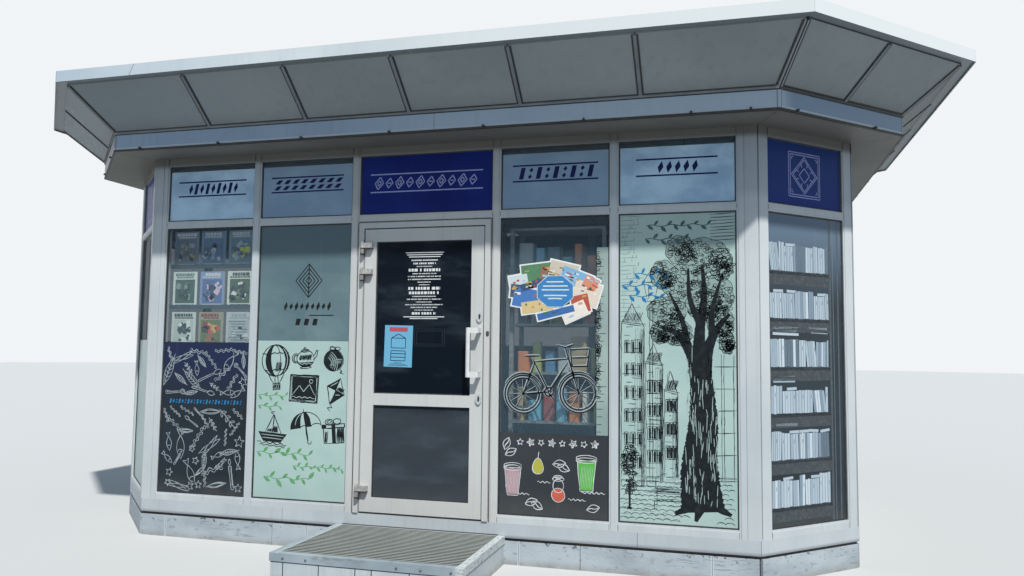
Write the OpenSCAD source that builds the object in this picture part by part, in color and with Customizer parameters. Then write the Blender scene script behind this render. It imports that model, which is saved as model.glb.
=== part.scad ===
// Street kiosk: a glazed aluminium pavilion on an eight-sided plan, a rectangle with its
// corners cut at 45 degrees, under a flared eaves skirt. The origin is at the middle of
// the plan on the ground, +X runs along the front and the door side faces -Y.

/* [Plan] */
// Clear glass width of an ordinary bay
bay_w = 760; // [640:10:860]
// Clear width of the bay that holds the door
door_bay_w = 1014; // [960:2:1100]
// Face width of a mullion between two bays
mullion_w = 60; // [50:1:70]
// Bays on each side of the door bay
bays_beside_door = 2; // [1:1:3]
// Bays in each end wall
end_bays = 3; // [2:1:4]
// Width of the jamb at the end of a long wall
jamb_w = 47; // [40:1:60]
// Width of the flat cover from that jamb to the corner
cover_w = 83; // [60:1:100]
// Clear glass width of a cut corner
corner_glass_w = 720; // [600:10:800]
// Width of the jamb at each end of a cut corner
corner_jamb_w = 84; // [60:1:100]
// Width of the dark joint between cover and corner jamb
joint_w = 16; // [12:1:24]
// Depth of that joint
joint_d = 10; // [6:1:16]
// Width of the groove between cover and jamb
cover_groove = 4; // [2:1:8]

/* [Heights] */
// Height of the plinth boards
plinth_h = 155; // [120:5:250]
// Height of the shadow gap over the plinth
gap_h = 20; // [12:1:30]
// Height of the sill band
sill_h = 95; // [80:1:120]
// Height of the bottom rail
bottom_rail_h = 55; // [48:1:70]
// Clear height of the lower panes
lower_glass_h = 2025; // [1900:5:2150]
// Height of the transom
transom_h = 55; // [48:1:70]
// Clear height of the upper lights
upper_glass_h = 435; // [350:5:500]
// Height of the head rail
head_h = 60; // [50:1:70]

/* [Base] */
// Thickness of the plinth boards
plinth_t = 20; // [14:1:30]
// Usual length of a plinth board
plinth_board_l = 1150; // [800:10:1600]
// Joint between two boards of the plinth or the step
board_joint = 4; // [2:1:8]
// Width of the steel beams under the floor
beam_w = 80; // [60:5:100]
// Distance between the floor's steel joists
joist_pitch = 824; // [500:4:1000]
// Thickness of the floor
floor_t = 87; // [60:1:94]

/* [Wall frame] */
// Depth of the wall profiles
frame_d = 60; // [55:1:80]
// Setback of the glass from the outer face
glass_back = 18; // [14:1:24]
// Thickness of a sealed pane
glass_t = 22; // [18:1:24]
// Depth of the glazing groove
groove_d = 12; // [10:1:16]
// Clearance round the edge of a pane
pane_gap = 3; // [1:1:4]
// Width of the glazing bead
bead_w = 12; // [8:1:16]
// Setback of the glazing bead
bead_back = 4; // [2:1:6]
// Clearance between pieces that lie on each other
seat = 0.1; // [0.05:0.05:0.3]

/* [Door] */
// Face width of the door frame, with the sunk joint beside it
door_frame_w = 47; // [40:1:60]
// Width of the sunk joint between door frame and mullion
door_joint = 8; // [4:1:12]
// How far the door frame stands out of the wall face
door_proud = 10; // [6:1:16]
// How far the leaf stands out of the wall face
leaf_proud = 2; // [0:1:6]
// Thickness of the door leaf
leaf_t = 48; // [42:1:54]
// Gap round the leaf
leaf_gap = 8.5; // [8:0.5:10]
// Width of the leaf's stiles
stile_w = 90; // [80:1:100]
// Height of the leaf's top rail
leaf_top_h = 91; // [80:1:110]
// Height of the leaf's middle rail
leaf_mid_h = 82; // [70:1:110]
// Height of the leaf's bottom rail
leaf_bottom_h = 103; // [90:1:150]
// Clear height of the lower pane of the leaf
leaf_lower_glass_h = 648; // [500:2:800]
// Setback of the panes from the face of the leaf
leaf_glass_back = 14; // [10:1:18]
// Thickness of the panes of the leaf
leaf_glass_t = 20; // [14:1:22]
// Thickness of the threshold strip
threshold_h = 5; // [3:1:8]
// How far the stop reaches behind the leaf
stop_w = 14; // [11:1:20]
// Thickness of the stop
stop_t = 8; // [5:1:12]

/* [Hinges, handle and locks] */
// Radius of the hinge barrels
barrel_r = 15; // [12:0.5:16]
// Distance from the barrels to the door frame's face
barrel_clear = 5; // [5:0.5:8]
// Distance from the edge of the leaf out to the hinge axis
axis_out = 10; // [8:1:14]
// Radius of the hinge pin
pin_r = 5; // [4:0.5:7]
// Clearance between pin and moving barrel
pin_clear = 0.1; // [0.05:0.05:0.2]
// Play between the two barrels of a hinge
barrel_play = 0.5; // [0.3:0.1:1]
// Height of the moving barrel
barrel_moving_h = 45; // [35:1:60]
// Height of the fixed barrel
barrel_fixed_h = 42; // [35:1:60]
// Reach of the hinge bracket from the axis
bracket_reach = 75; // [60:1:90]
// Thickness of the hinge bracket
bracket_t = 12; // [8:1:14]
// Depth of the tops of the two upper hinges below the head of the leaf
hinge_drops = [99, 289];
// Height of the top of the lower hinge over the foot of the leaf
hinge_rise = 183;
// Reach of the pull handle's grip from the leaf
handle_reach = 62; // [50:1:80]
// Length of the grip
handle_l = 340; // [250:10:450]
// Radius of the grip
grip_r = 17; // [12:0.5:20]
// Distance from the edge of the leaf to the middle of the grip
grip_inset = 86; // [60:1:110]
// Distance from the edge of the leaf to the outer end of the handle's arms
arm_inset = 12; // [8:1:24]
// Height of the handle's arms
arm_h = 38; // [24:1:44]
// Thickness of the handle's arms
arm_t = 20; // [12:1:24]
// Height of the grip's foot over the foot of the leaf
grip_z = 962; // [800:2:1100]
// Radius of the lock covers
lock_r = 20; // [16:1:26]
// Distance from the edge of the leaf to the middle of the lock covers
lock_inset = 25; // [22:1:60]
// Height of each lock cover over the foot of the leaf
lock_zs = [800, 1366];

/* [Eaves and roof] */
// Overhang of the eaves band
eaves_out = 310; // [250:5:360]
// Height of the eaves band
band_h = 117; // [90:1:150]
// Thickness of the eaves band
band_t = 30; // [20:1:40]
// Thickness of the soffit
soffit_t = 15; // [12:1:20]
// Depth of the rubber strip at the foot of the band
strip_d = 15; // [10:1:20]
// How far that strip stands out of the band
strip_proud = 3; // [1:1:6]
// Radius of the knobs on the strip
knob_r = 8; // [6:1:18]
// How far the knobs stand out of the band
knob_l = 16; // [10:1:24]
// Distance between knobs on a long wall
knob_pitch = 675; // [500:5:900]
// Height of the rail at the foot of the flare
flare_rail_h = 15; // [10:1:25]
// Overhang of the top edge of the flare
flare_out = 645; // [560:5:700]
// Rise of the flare
flare_rise = 273; // [200:1:320]
// Thickness of a flare panel
flare_panel_t = 10; // [6:1:14]
// Width of a flare rib
rib_w = 21; // [18:1:34]
// Width of the rib on each side of a corner
corner_rib_w = 16; // [12:1:24]
// How far the ribs stand out of the panels
rib_proud = 8; // [5:1:12]
// How far a rib laps over the edge of a panel
rib_lap = 6; // [3:1:9]
// Distance between the ribs of a long wall
rib_pitch = 785; // [600:5:900]
// Overhang of the coping's face
coping_out = 720; // [710:5:780]
// Width of the coping
coping_w = 130; // [110:5:160]
// Height of the coping's face
coping_h = 84; // [60:1:110]
// How far the coping's lip hangs down
coping_lip = 10; // [6:1:16]
// Thickness of that lip
coping_lip_t = 8; // [4:1:12]
// Thickness of the roof deck
deck_t = 22; // [15:1:40]
// Width of the roof beams
roof_beam_w = 60; // [45:5:90]
// Height of the roof beams
roof_beam_h = 180; // [120:10:240]
// Usual distance between the roof beams
roof_beam_pitch = 1140; // [700:10:1500]

/* [Step] */
// Width of the step
step_w = 1250; // [1100:10:1500]
// Depth of the step
step_d = 870; // [700:10:1100]
// Height of the step over the sill band's foot
step_rise = 12; // [5:1:25]
// Leg length of the angle iron rim
angle_w = 50; // [40:1:60]
// Thickness of the angle iron
angle_t = 5; // [4:1:8]
// Thickness of the step's boards
board_t = 18; // [14:1:24]
// Width of the step's boards
board_w = 240; // [160:5:300]
// Width of the middle board of the front
middle_board_w = 105; // [60:5:200]
// Height of the grating's bars
bar_h = 30; // [25:1:40]
// Thickness of the grating's bars
bar_t = 5; // [4:1:7]
// Distance between the grating's bars
bar_pitch = 34; // [28:1:45]
// Clearance between grating and rim
grating_gap = 2; // [1:0.5:4]
// Height of the ledgers under the grating
ledger_h = 20; // [15:1:30]

/* [Inside] */
// Height of one magazine
magazine_h = 284; // [260:2:290]
// Thickness of a pack of magazines
magazine_t = 6; // [3:1:12]
// Gap between two magazines of a row
magazine_gap = 28; // [15:1:40]
// Magazines in a row
magazine_columns = 3; // [2:1:4]
// Rows of magazines
magazine_rows = 3; // [1:1:5]
// Space over a magazine to the next tray
magazine_space = 31; // [26:1:60]
// Inner width of a tray, from front to back
tray_d = 26; // [15:1:40]
// Thickness of the trays' sheet
tray_t = 3; // [2:0.5:4]
// Depth of the display shelf
shelf_d = 300; // [200:10:400]
// Boards of the display shelf
shelf_boards = 6; // [3:1:8]
// Thickness of those boards
shelf_board_t = 16; // [12:1:25]
// Width of the posts of the display shelf
shelf_post_w = 28; // [20:1:40]

/* [Hidden] */

// Overcut of a tool that removes material, so that it passes the face it cuts
cut = 1;
// Offsetting a wall by e makes it 2 * T * e longer
T = tan(22.5);

// The walls are numbered from the front, counter-clockwise
front_sides = [0];
back_sides = [4];
end_sides = [2, 6];
cut_sides = [1, 3, 5, 7];

// Lengths of the walls, from corner to corner on the outer face
corner_w = jamb_w + cover_w;
step_along = bay_w + mullion_w;
front_len = door_bay_w + 2 * bays_beside_door * step_along + 2 * corner_w;
end_len = end_bays * bay_w + (end_bays - 1) * mullion_w + 2 * corner_w;
cut_len = corner_glass_w + 2 * (corner_jamb_w + joint_w);
cut_leg = cut_len * sin(45);
half_x = front_len / 2 + cut_leg;
half_y = end_len / 2 + cut_leg;

// Levels over the ground
z_sill = plinth_h + gap_h;
z_frame = z_sill + sill_h;
z_glass = z_frame + bottom_rail_h;
z_transom = z_glass + lower_glass_h;
z_upper = z_transom + transom_h;
z_head = z_upper + upper_glass_h;
z_wall = z_head + head_h;
z_soffit = z_wall + seat;
z_band = z_wall + soffit_t;
z_rail = z_band + band_h;
z_flare = z_rail + flare_rail_h;
z_coping = z_flare + flare_rise;
z_deck = z_coping + coping_lip;
z_floor = z_sill + floor_t;

// How far a pane stands in its grooves
pane_edge = groove_d - pane_gap;

// Corners of the plan, moved outwards by e, counted from the front left corner
function plan(e = 0) =
    let (a = front_len / 2 + T * e, b = end_len / 2 + T * e, x = half_x + e, y = half_y + e)
    [[-a, -y], [a, -y], [x, -b], [x, b], [a, y], [-a, y], [-x, b], [-x, -b]];

function side_len(k) = k % 2 == 1 ? cut_len : (k % 4 == 0 ? front_len : end_len);

// Puts its children at the middle of wall k: x along the wall, y inwards
module on_side(k) {
    p = plan();
    mid = (p[k] + p[(k + 1) % 8]) / 2;
    translate([mid[0], mid[1], 0]) rotate(45 * k) children();
}

module ring(e_in, e_out, z0, z1) {
    translate([0, 0, z0]) linear_extrude(z1 - z0) difference() {
        polygon(plan(e_out));
        polygon(plan(e_in));
    }
}

module slab(e, z0, z1) {
    translate([0, 0, z0]) linear_extrude(z1 - z0) polygon(plan(e));
}

// Block from corner p to corner q
module block(p, q) {
    translate(p) cube(q - p);
}

// Section of a profile w wide: x across its face, y inwards, a groove and a bead on the
// left and on the right where those are 1
module profile(w, left = 1, right = 1) {
    h = w / 2;
    module groove_side() {
        translate([h - groove_d, glass_back]) square([groove_d + cut, glass_t]);
        translate([h - bead_w, -cut]) square([bead_w + cut, bead_back + cut]);
    }
    difference() {
        translate([-h, 0]) square([w, frame_d]);
        if (right == 1) groove_side();
        if (left == 1) mirror([1, 0]) groove_side();
    }
}

// Upright profile at x, as tall as the glazed wall
module upright(x, w, left = 1, right = 1) {
    translate([x, 0, z_frame]) linear_extrude(z_wall - z_frame) profile(w, left, right);
}

// Level profile from x0 to x1, h tall from z, with grooves below and above
module level_rail(x0, x1, z, h, below, above) {
    translate([x0, 0, z + h / 2]) rotate([90, 0, 90]) linear_extrude(x1 - x0)
        rotate(90) mirror([0, 1]) profile(h, below, above);
}

// One bay's rails from x0 to x1: transom and head, and the bottom rail unless a door is there
module bay_rails(x0, x1, bottom = true) {
    if (bottom) level_rail(x0, x1, z_frame, bottom_rail_h, 0, 1);
    level_rail(x0, x1, z_transom, transom_h, bottom ? 1 : 0, 1);
    level_rail(x0, x1, z_head, head_h, 1, 0);
}

// Pane that fills a clear opening and stands in the grooves round it
module pane(x0, x1, z0, z1) {
    block([x0 - pane_edge, glass_back, z0 - pane_edge],
          [x1 + pane_edge, glass_back + glass_t, z1 + pane_edge]);
}

module lower_pane(x0, x1) { pane(x0, x1, z_glass, z_transom); }
module upper_pane(x0, x1) { pane(x0, x1, z_upper, z_head); }

// Left and right edges of each bay along a wall, from its middle
function long_bays() = concat(
    [for (i = [bays_beside_door : -1 : 1]) let (x = -door_bay_w / 2 - i * step_along) [x, x + bay_w]],
    [[-door_bay_w / 2, door_bay_w / 2]],
    [for (i = [1 : bays_beside_door]) let (x = door_bay_w / 2 + i * step_along) [x - bay_w, x]]);
function short_bays() =
    [for (i = [0 : end_bays - 1]) let (x = -end_len / 2 + corner_w + i * step_along) [x, x + bay_w]];
cut_bay = [-corner_glass_w / 2, corner_glass_w / 2];
door_bay = bays_beside_door;

// Mullions between the bays of a wall, and a jamb at each end
module wall_uprights(bays) {
    last = len(bays) - 1;
    for (i = [0 : last - 1]) upright(bays[i][1] + mullion_w / 2, mullion_w);
    upright(bays[0][0] - jamb_w / 2, jamb_w, 0, 1);
    upright(bays[last][1] + jamb_w / 2, jamb_w, 1, 0);
}

// Plinth boards in a row along wall k, mitred off at the corners, with open joints
module plinth_row(k) {
    count = max(1, round(side_len(k) / plinth_board_l));
    run = side_len(k) / count;
    end_cut = T * plinth_t + board_joint;
    for (i = [0 : count - 1]) {
        x0 = i * run - side_len(k) / 2;
        block([x0 + (i == 0 ? end_cut : board_joint / 2), 0, 0],
              [x0 + run - (i == count - 1 ? end_cut : board_joint / 2), plinth_t, plinth_h]);
    }
}

module plinth() {
    color("#b7c4cf") for (k = [0 : 7]) on_side(k) plinth_row(k);
}

// Steel ring beam behind the plinth boards, with joists from front to back
module base_frame() {
    joists = max(2, floor(front_len / joist_pitch));
    end_y = half_y - plinth_t - beam_w / 2;
    color("#3a3d40") {
        ring(-plinth_t - seat - beam_w, -plinth_t - seat, 0, z_sill);
        for (i = [0 : joists - 1]) {
            x = (i - (joists - 1) / 2) * joist_pitch;
            block([x - beam_w / 2, -end_y, 0], [x + beam_w / 2, end_y, z_sill]);
        }
    }
}

module floor_slab() {
    color("#8d8a84") slab(-frame_d, z_sill, z_floor);
}

module sill_band() {
    color("#b4bcc6") ring(-frame_d, 0, z_sill, z_frame);
}

// Section of a corner post: a flat cover on the long wall with a groove beside the jamb, and
// a sunk joint on the cut corner. From corner c, u runs along the long wall and v along the
// cut one, and n and m point inwards from them
module post_section(c, u, n, v, m) {
    lip = 2;
    edge = c + u * cover_w;
    joint = c + v * (joint_w - seat);
    polygon([edge + n * cover_groove, edge - u * cover_groove + n * cover_groove,
             edge - u * cover_groove, c, c + v * lip, c + v * lip + m * joint_d,
             joint + m * joint_d, joint + m * (frame_d + seat),
             c + u * (T * frame_d + 2 * seat) + n * frame_d, edge + n * frame_d]);
}

module corner_posts() {
    p = plan();
    color("#76828f") for (k = [0 : 7]) {
        along = [cos(45 * k), sin(45 * k)];
        before = [cos(45 * (k - 1)), sin(45 * (k - 1))];
        n = [-along[1], along[0]];
        m = [-before[1], before[0]];
        translate([0, 0, z_frame]) linear_extrude(z_wall - z_frame) {
            if (k % 2 == 0) post_section(p[k], along, n, -before, m);
            else post_section(p[k], -before, m, along, n);
        }
    }
}

module front_mullions() {
    color("#c5cbd3") on_side(0) wall_uprights(long_bays());
}

module back_mullions() {
    color("#c5cbd3") on_side(4) wall_uprights(long_bays());
}

module end_mullions() {
    color("#c5cbd3") for (k = end_sides) on_side(k) wall_uprights(short_bays());
}

module corner_jambs() {
    color("#c5cbd3") for (k = cut_sides) on_side(k) {
        upright(cut_bay[0] - corner_jamb_w / 2, corner_jamb_w, 0, 1);
        upright(cut_bay[1] + corner_jamb_w / 2, corner_jamb_w, 1, 0);
    }
}

module front_rails() {
    bays = long_bays();
    color("#c5cbd3") on_side(0) for (i = [0 : len(bays) - 1])
        bay_rails(bays[i][0], bays[i][1], i != door_bay);
}

module back_rails() {
    color("#c5cbd3") on_side(4) for (b = long_bays()) bay_rails(b[0], b[1]);
}

module end_rails() {
    color("#c5cbd3") for (k = end_sides) on_side(k)
        for (b = short_bays()) bay_rails(b[0], b[1]);
}

module corner_rails() {
    color("#c5cbd3") for (k = cut_sides) on_side(k) bay_rails(cut_bay[0], cut_bay[1]);
}

module front_lower_glass() {
    bays = long_bays();
    color("#3f5a60", 0.6) on_side(0) for (i = [0 : len(bays) - 1])
        if (i != door_bay) lower_pane(bays[i][0], bays[i][1]);
}

module front_upper_glass() {
    bays = long_bays();
    color("#6f8fa6", 0.7) on_side(0) for (i = [0 : len(bays) - 1])
        if (i != door_bay) upper_pane(bays[i][0], bays[i][1]);
}

module back_glass() {
    color("#3f5a60", 0.6) on_side(4) for (b = long_bays()) {
        lower_pane(b[0], b[1]);
        upper_pane(b[0], b[1]);
    }
}

module end_glass() {
    color("#3f5a60", 0.6) for (k = end_sides) on_side(k) for (b = short_bays()) {
        lower_pane(b[0], b[1]);
        upper_pane(b[0], b[1]);
    }
}

module corner_lower_glass() {
    color("#3f5a60", 0.6) for (k = cut_sides) on_side(k) lower_pane(cut_bay[0], cut_bay[1]);
}

module corner_sign_panels() {
    color("#101a55") for (k = cut_sides) on_side(k) upper_pane(cut_bay[0], cut_bay[1]);
}

module door_sign_panel() {
    color("#101a55") on_side(0) upper_pane(-door_bay_w / 2, door_bay_w / 2);
}

// The door, in its bay's own coordinates: x along the wall, y inwards
frame_in = door_bay_w / 2 - door_frame_w;
leaf_w = 2 * (frame_in - leaf_gap);
leaf_z0 = z_frame + threshold_h + leaf_gap;
leaf_z1 = z_transom - door_frame_w - leaf_gap;
leaf_y0 = -leaf_proud;
leaf_y1 = leaf_y0 + leaf_t;
leaf_glass_w = leaf_w - 2 * stile_w;
leaf_low = [leaf_z0 + leaf_bottom_h, leaf_z0 + leaf_bottom_h + leaf_lower_glass_h];
leaf_high = [leaf_low[1] + leaf_mid_h, leaf_z1 - leaf_top_h];
leaf_pane_y = leaf_y0 + leaf_glass_back;

// Outer frame with a sunk joint against mullions and transom, a stop behind the leaf and a
// threshold strip that stays behind the wall face
module door_frame() {
    half = door_bay_w / 2;
    y0 = -door_proud;
    stop_y = leaf_y1 + leaf_gap;
    back = stop_y + stop_t;
    z0 = z_frame + threshold_h;
    z1 = z_transom - door_frame_w;
    color("#c5cbd3") on_side(0) difference() {
        block([-half, y0, z_frame], [half, back, z_transom]);
        block([-frame_in, y0 - cut, z0], [frame_in, stop_y, z1]);
        block([stop_w - frame_in, stop_y - cut, z0], [frame_in - stop_w, back + cut, z1 - stop_w]);
        block([-half - cut, y0 - cut, z_frame - cut], [door_joint - half, joint_d, z_transom + cut]);
        block([half - door_joint, y0 - cut, z_frame - cut], [half + cut, joint_d, z_transom + cut]);
        block([-half, y0 - cut, z_transom - door_joint], [half, joint_d, z_transom + cut]);
        block([-half, y0 - cut, z_frame - cut], [half, 0, z0]);
    }
}

// Opening of the leaf between the levels z, with a groove for its pane
module leaf_opening(z) {
    g = leaf_glass_w / 2;
    block([-g, leaf_y0 - cut, z[0]], [g, leaf_y1 + cut, z[1]]);
    block([-g - groove_d, leaf_pane_y, z[0] - groove_d],
          [g + groove_d, leaf_pane_y + leaf_glass_t, z[1] + groove_d]);
}

module door_leaf() {
    color("#c5cbd3") on_side(0) difference() {
        block([-leaf_w / 2, leaf_y0, leaf_z0], [leaf_w / 2, leaf_y1, leaf_z1]);
        leaf_opening(leaf_low);
        leaf_opening(leaf_high);
    }
}

module door_panes() {
    g = leaf_glass_w / 2 + pane_edge;
    color("#151b22", 0.8) on_side(0) for (z = [leaf_low, leaf_high])
        block([-g, leaf_pane_y, z[0] - pane_edge], [g, leaf_pane_y + leaf_glass_t, z[1] + pane_edge]);
}

// The hinge axis stands in front of the door frame, left of the leaf
axis_x = -leaf_w / 2 - axis_out;
axis_y = -door_proud - barrel_clear - barrel_r;
hinge_zs = concat([for (d = hinge_drops) leaf_z1 - d], [leaf_z0 + hinge_rise]);

// Fixed barrels, each with its pin and the block that carries it on the frame
module hinge_knuckles() {
    foot_x = axis_out - leaf_gap / 2;
    foot_y = barrel_r + barrel_clear;
    top = -barrel_moving_h - barrel_play;
    color("#8b8f94") on_side(0) for (h = hinge_zs) translate([axis_x, axis_y, h]) {
        translate([0, 0, top]) cylinder(h = barrel_moving_h, r = pin_r, $fn = 32);
        translate([0, 0, top - barrel_fixed_h]) {
            cylinder(h = barrel_fixed_h, r = barrel_r, $fn = 40);
            block([-barrel_r, 0, 0], [foot_x, foot_y, barrel_fixed_h]);
        }
    }
}

// Moving barrels with a cap, each on a cranked bracket whose foot lies on the leaf
module hinge_brackets() {
    cap_r = barrel_r * 0.6;
    cap_h = barrel_r * 0.7;
    t = bracket_t / 2;
    leaf_edge = axis_out + 2;
    foot_y = leaf_y0 - axis_y;
    color("#c9ccd0") on_side(0) for (h = hinge_zs)
        translate([axis_x, axis_y, h - barrel_moving_h]) {
            translate([0, 0, barrel_moving_h]) cylinder(h = cap_h, r = cap_r, $fn = 32);
            difference() {
                union() {
                    cylinder(h = barrel_moving_h, r = barrel_r, $fn = 40);
                    linear_extrude(barrel_moving_h)
                        polygon([[0, -t], [bracket_reach - t, -t], [bracket_reach, 0],
                                 [bracket_reach, foot_y], [leaf_edge, foot_y],
                                 [leaf_edge, foot_y / 2], [leaf_edge - t / 2, t], [0, t]]);
                }
                translate([0, 0, -cut])
                    cylinder(h = barrel_moving_h + cut, r = pin_r + pin_clear, $fn = 32);
            }
        }
}

// Pull handle: an upright grip on two level arms, each held by a post on the stile
module door_handle() {
    grip_x = leaf_w / 2 - grip_inset;
    end_x = leaf_w / 2 - arm_inset;
    color("#d5d8da") on_side(0) translate([0, leaf_y0, leaf_z0 + grip_z]) {
        translate([grip_x, -handle_reach, 0]) cylinder(h = handle_l, r = grip_r, $fn = 48);
        for (z = [0, handle_l - arm_h]) {
            block([grip_x, -handle_reach - arm_t / 2, z], [end_x, arm_t / 2 - handle_reach, z + arm_h]);
            block([end_x - arm_t, -handle_reach, z], [end_x, 0, z + arm_h]);
        }
    }
}

// Two round lock covers on the right stile, each with its cylinder
module door_locks() {
    cover_t = 6;
    cylinder_t = 4;
    color("#c9ccd0") on_side(0) for (z = lock_zs)
        translate([leaf_w / 2 - lock_inset, leaf_y0, leaf_z0 + z]) rotate([90, 0, 0]) {
            cylinder(h = cover_t, r = lock_r, $fn = 40);
            cylinder(h = cover_t + cylinder_t, r = lock_r / 2, $fn = 32);
        }
}

// The soffit ends at the rubber strip, which closes the foot of the band
strip_in = eaves_out + strip_proud - strip_d;

module soffit() {
    color("#50524a") ring(-frame_d / 2, strip_in, z_soffit, z_band);
}

module ceiling() {
    color("#d8d8d4") slab(-frame_d / 2, z_soffit, z_band);
}

module eaves_band() {
    color("#65798f") ring(eaves_out - band_t, eaves_out, z_band, z_rail);
}

// Places of the knobs along a run of the band: at even steps, and one near the far end
function knob_places(k, run) = k % 2 == 1 ? [run / 8, run * 3 / 4] :
    concat([for (x = [0.35 * knob_pitch : knob_pitch : run - knob_pitch / 2]) x],
           [run - knob_pitch / 4]);

// Black strip along the foot of the band, with round knobs clipped to it
module edge_strip() {
    knob_z = z_band + 0.3 * knob_r;
    color("#101214") {
        ring(strip_in, eaves_out + strip_proud, z_soffit, z_band);
        for (k = [0 : 7]) on_side(k) {
            run = side_len(k) + 2 * T * eaves_out;
            for (x = knob_places(k, run))
                translate([x - run / 2, -eaves_out - seat, knob_z]) rotate([90, 0, 0])
                    cylinder(h = knob_l, r = knob_r, $fn = 24);
        }
    }
}

// The flare: a plate that leans out between the band and the coping. Its outer face runs
// from foot_out to flare_out, and t0 and t1 are depths below that face.
foot_out = eaves_out + 2;
slope = atan2(flare_rise, flare_out - foot_out);
mitre_gap = 1;
// The flare's pieces are cut to their outlines in plan between these two overhangs
cut_lo = foot_out - 20;
cut_hi = flare_out;

module flare_plate(len, t0, t1) {
    n = [sin(slope), cos(slope)];
    a = [-foot_out, z_flare];
    b = [-flare_out, z_coping];
    past = (b - a) / 5;
    rotate([90, 0, 90]) translate([0, 0, -len / 2]) linear_extrude(len)
        polygon([a - past + n * t0, b + past + n * t0, b + past + n * t1, a - past + n * t1]);
}

// Cuts a flare plate of wall k to an outline in plan, from level z0 up to the deck
module flare_piece(k, t0, t1, z0, outline) {
    intersection() {
        flare_plate(side_len(k) + 2 * flare_out, t0, t1);
        translate([0, 0, z0]) linear_extrude(z_deck - seat - z0) polygon(outline);
    }
}

// Half the width of wall k's flare at an overhang e
function flare_half(k, e) = side_len(k) / 2 + T * e;

// Places of the ribs between the corners of wall k, evenly spread about its middle
function rib_count(k) = max(2, round((side_len(k) + 2 * T * eaves_out) / rib_pitch));
function rib_places(k) = k % 2 == 1 ? [0] :
    let (n = rib_count(k), pitch = min(rib_pitch, (side_len(k) + 2 * T * eaves_out) / n))
    [for (i = [1 : n - 1]) (i - n / 2) * pitch];

// Panels of wall k, each from rib to rib or to the mitre at a corner
module flare_panel_row(k) {
    ribs = rib_places(k);
    n = len(ribs);
    half = rib_w / 2 - rib_lap;
    mitre = corner_rib_w - rib_lap;
    for (i = [0 : n]) {
        left = i == 0 ? [mitre - flare_half(k, cut_lo), mitre - flare_half(k, cut_hi)]
                      : [ribs[i - 1] + half, ribs[i - 1] + half];
        right = i == n ? [flare_half(k, cut_lo) - mitre, flare_half(k, cut_hi) - mitre]
                       : [ribs[i] - half, ribs[i] - half];
        flare_piece(k, 0, flare_panel_t, z_flare, [[left[0], -cut_lo], [left[1], -cut_hi],
                                                   [right[1], -cut_hi], [right[0], -cut_lo]]);
    }
}

module flare_panels() {
    color("#5f686b") for (k = [0 : 7]) on_side(k) flare_panel_row(k);
}

// Flat bar on the outer face of the flare, let into the rail at its foot
module rib_bar(k, outline) {
    flare_piece(k, -rib_proud, 0, z_rail + flare_rail_h / 2, outline);
}

// Straight rail of wall k between two overhangs, mitred at the corners
module flare_rail(k, e0, e1, z0, z1) {
    a = flare_half(k, e0) - mitre_gap;
    b = flare_half(k, e1) - mitre_gap;
    translate([0, 0, z0]) linear_extrude(z1 - z0) polygon([[-a, -e0], [a, -e0], [b, -e1], [-b, -e1]]);
}

// Ribs of wall k with the rail at their foot, and the hidden rail that carries the coping
module flare_rib_set(k) {
    half = rib_w / 2;
    edge = 2 * mitre_gap;
    rail_lip = 6;
    head_rail = 30;
    head_out = flare_out - 1.5 * head_rail;
    for (x = rib_places(k))
        rib_bar(k, [[x - half, -cut_lo], [x - half, -cut_hi], [x + half, -cut_hi], [x + half, -cut_lo]]);
    for (s = [-1, 1]) {
        lo = flare_half(k, cut_lo);
        hi = flare_half(k, cut_hi);
        rib_bar(k, [[s * (lo - edge), -cut_lo], [s * (hi - edge), -cut_hi],
                    [s * (hi - corner_rib_w), -cut_hi], [s * (lo - corner_rib_w), -cut_lo]]);
    }
    flare_rail(k, eaves_out - band_t, foot_out + rail_lip, z_rail, z_flare);
    flare_rail(k, head_out - head_rail, head_out, z_deck - seat - head_rail, z_deck - seat);
}

module flare_ribs(sides) {
    color("#7c8486") for (k = sides) on_side(k) flare_rib_set(k);
}

module flare_ribs_front() { flare_ribs(front_sides); }
module flare_ribs_back() { flare_ribs(back_sides); }
module flare_ribs_ends() { flare_ribs(end_sides); }
module flare_ribs_corners() { flare_ribs(cut_sides); }

// Folded coping with a lip that hangs below its outer edge
coping_in = coping_out - coping_w;

module coping() {
    color("#c9d3da") {
        ring(coping_in, coping_out, z_deck, z_coping + coping_h);
        ring(coping_out - coping_lip_t, coping_out, z_coping, z_deck);
    }
}

module roof_deck() {
    color("#7d8488") slab(coping_in, z_deck, z_deck + deck_t);
}

// Low stud wall over the glazing that carries the deck, with beams across
module roof_curb() {
    beams = max(2, round(front_len / roof_beam_pitch));
    end_y = half_y - frame_d / 2;
    color("#6b7076") {
        ring(-frame_d, 0, z_band, z_deck);
        for (i = [0 : beams - 1]) {
            x = (i - (beams - 1) / 2) * front_len / beams;
            block([x - roof_beam_w / 2, -end_y, z_deck - roof_beam_h], [x + roof_beam_w / 2, end_y, z_deck]);
        }
    }
}

// The step stands against the wall in front of the door. Its rim lies on the boards, and
// ledgers on four short legs carry the grating
step_z = z_sill + step_rise;
step_h = step_w / 2;
rim_foot = step_z - angle_t;
grating_foot = step_z - bar_h;
inner_w = step_h - angle_t - board_t;

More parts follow.
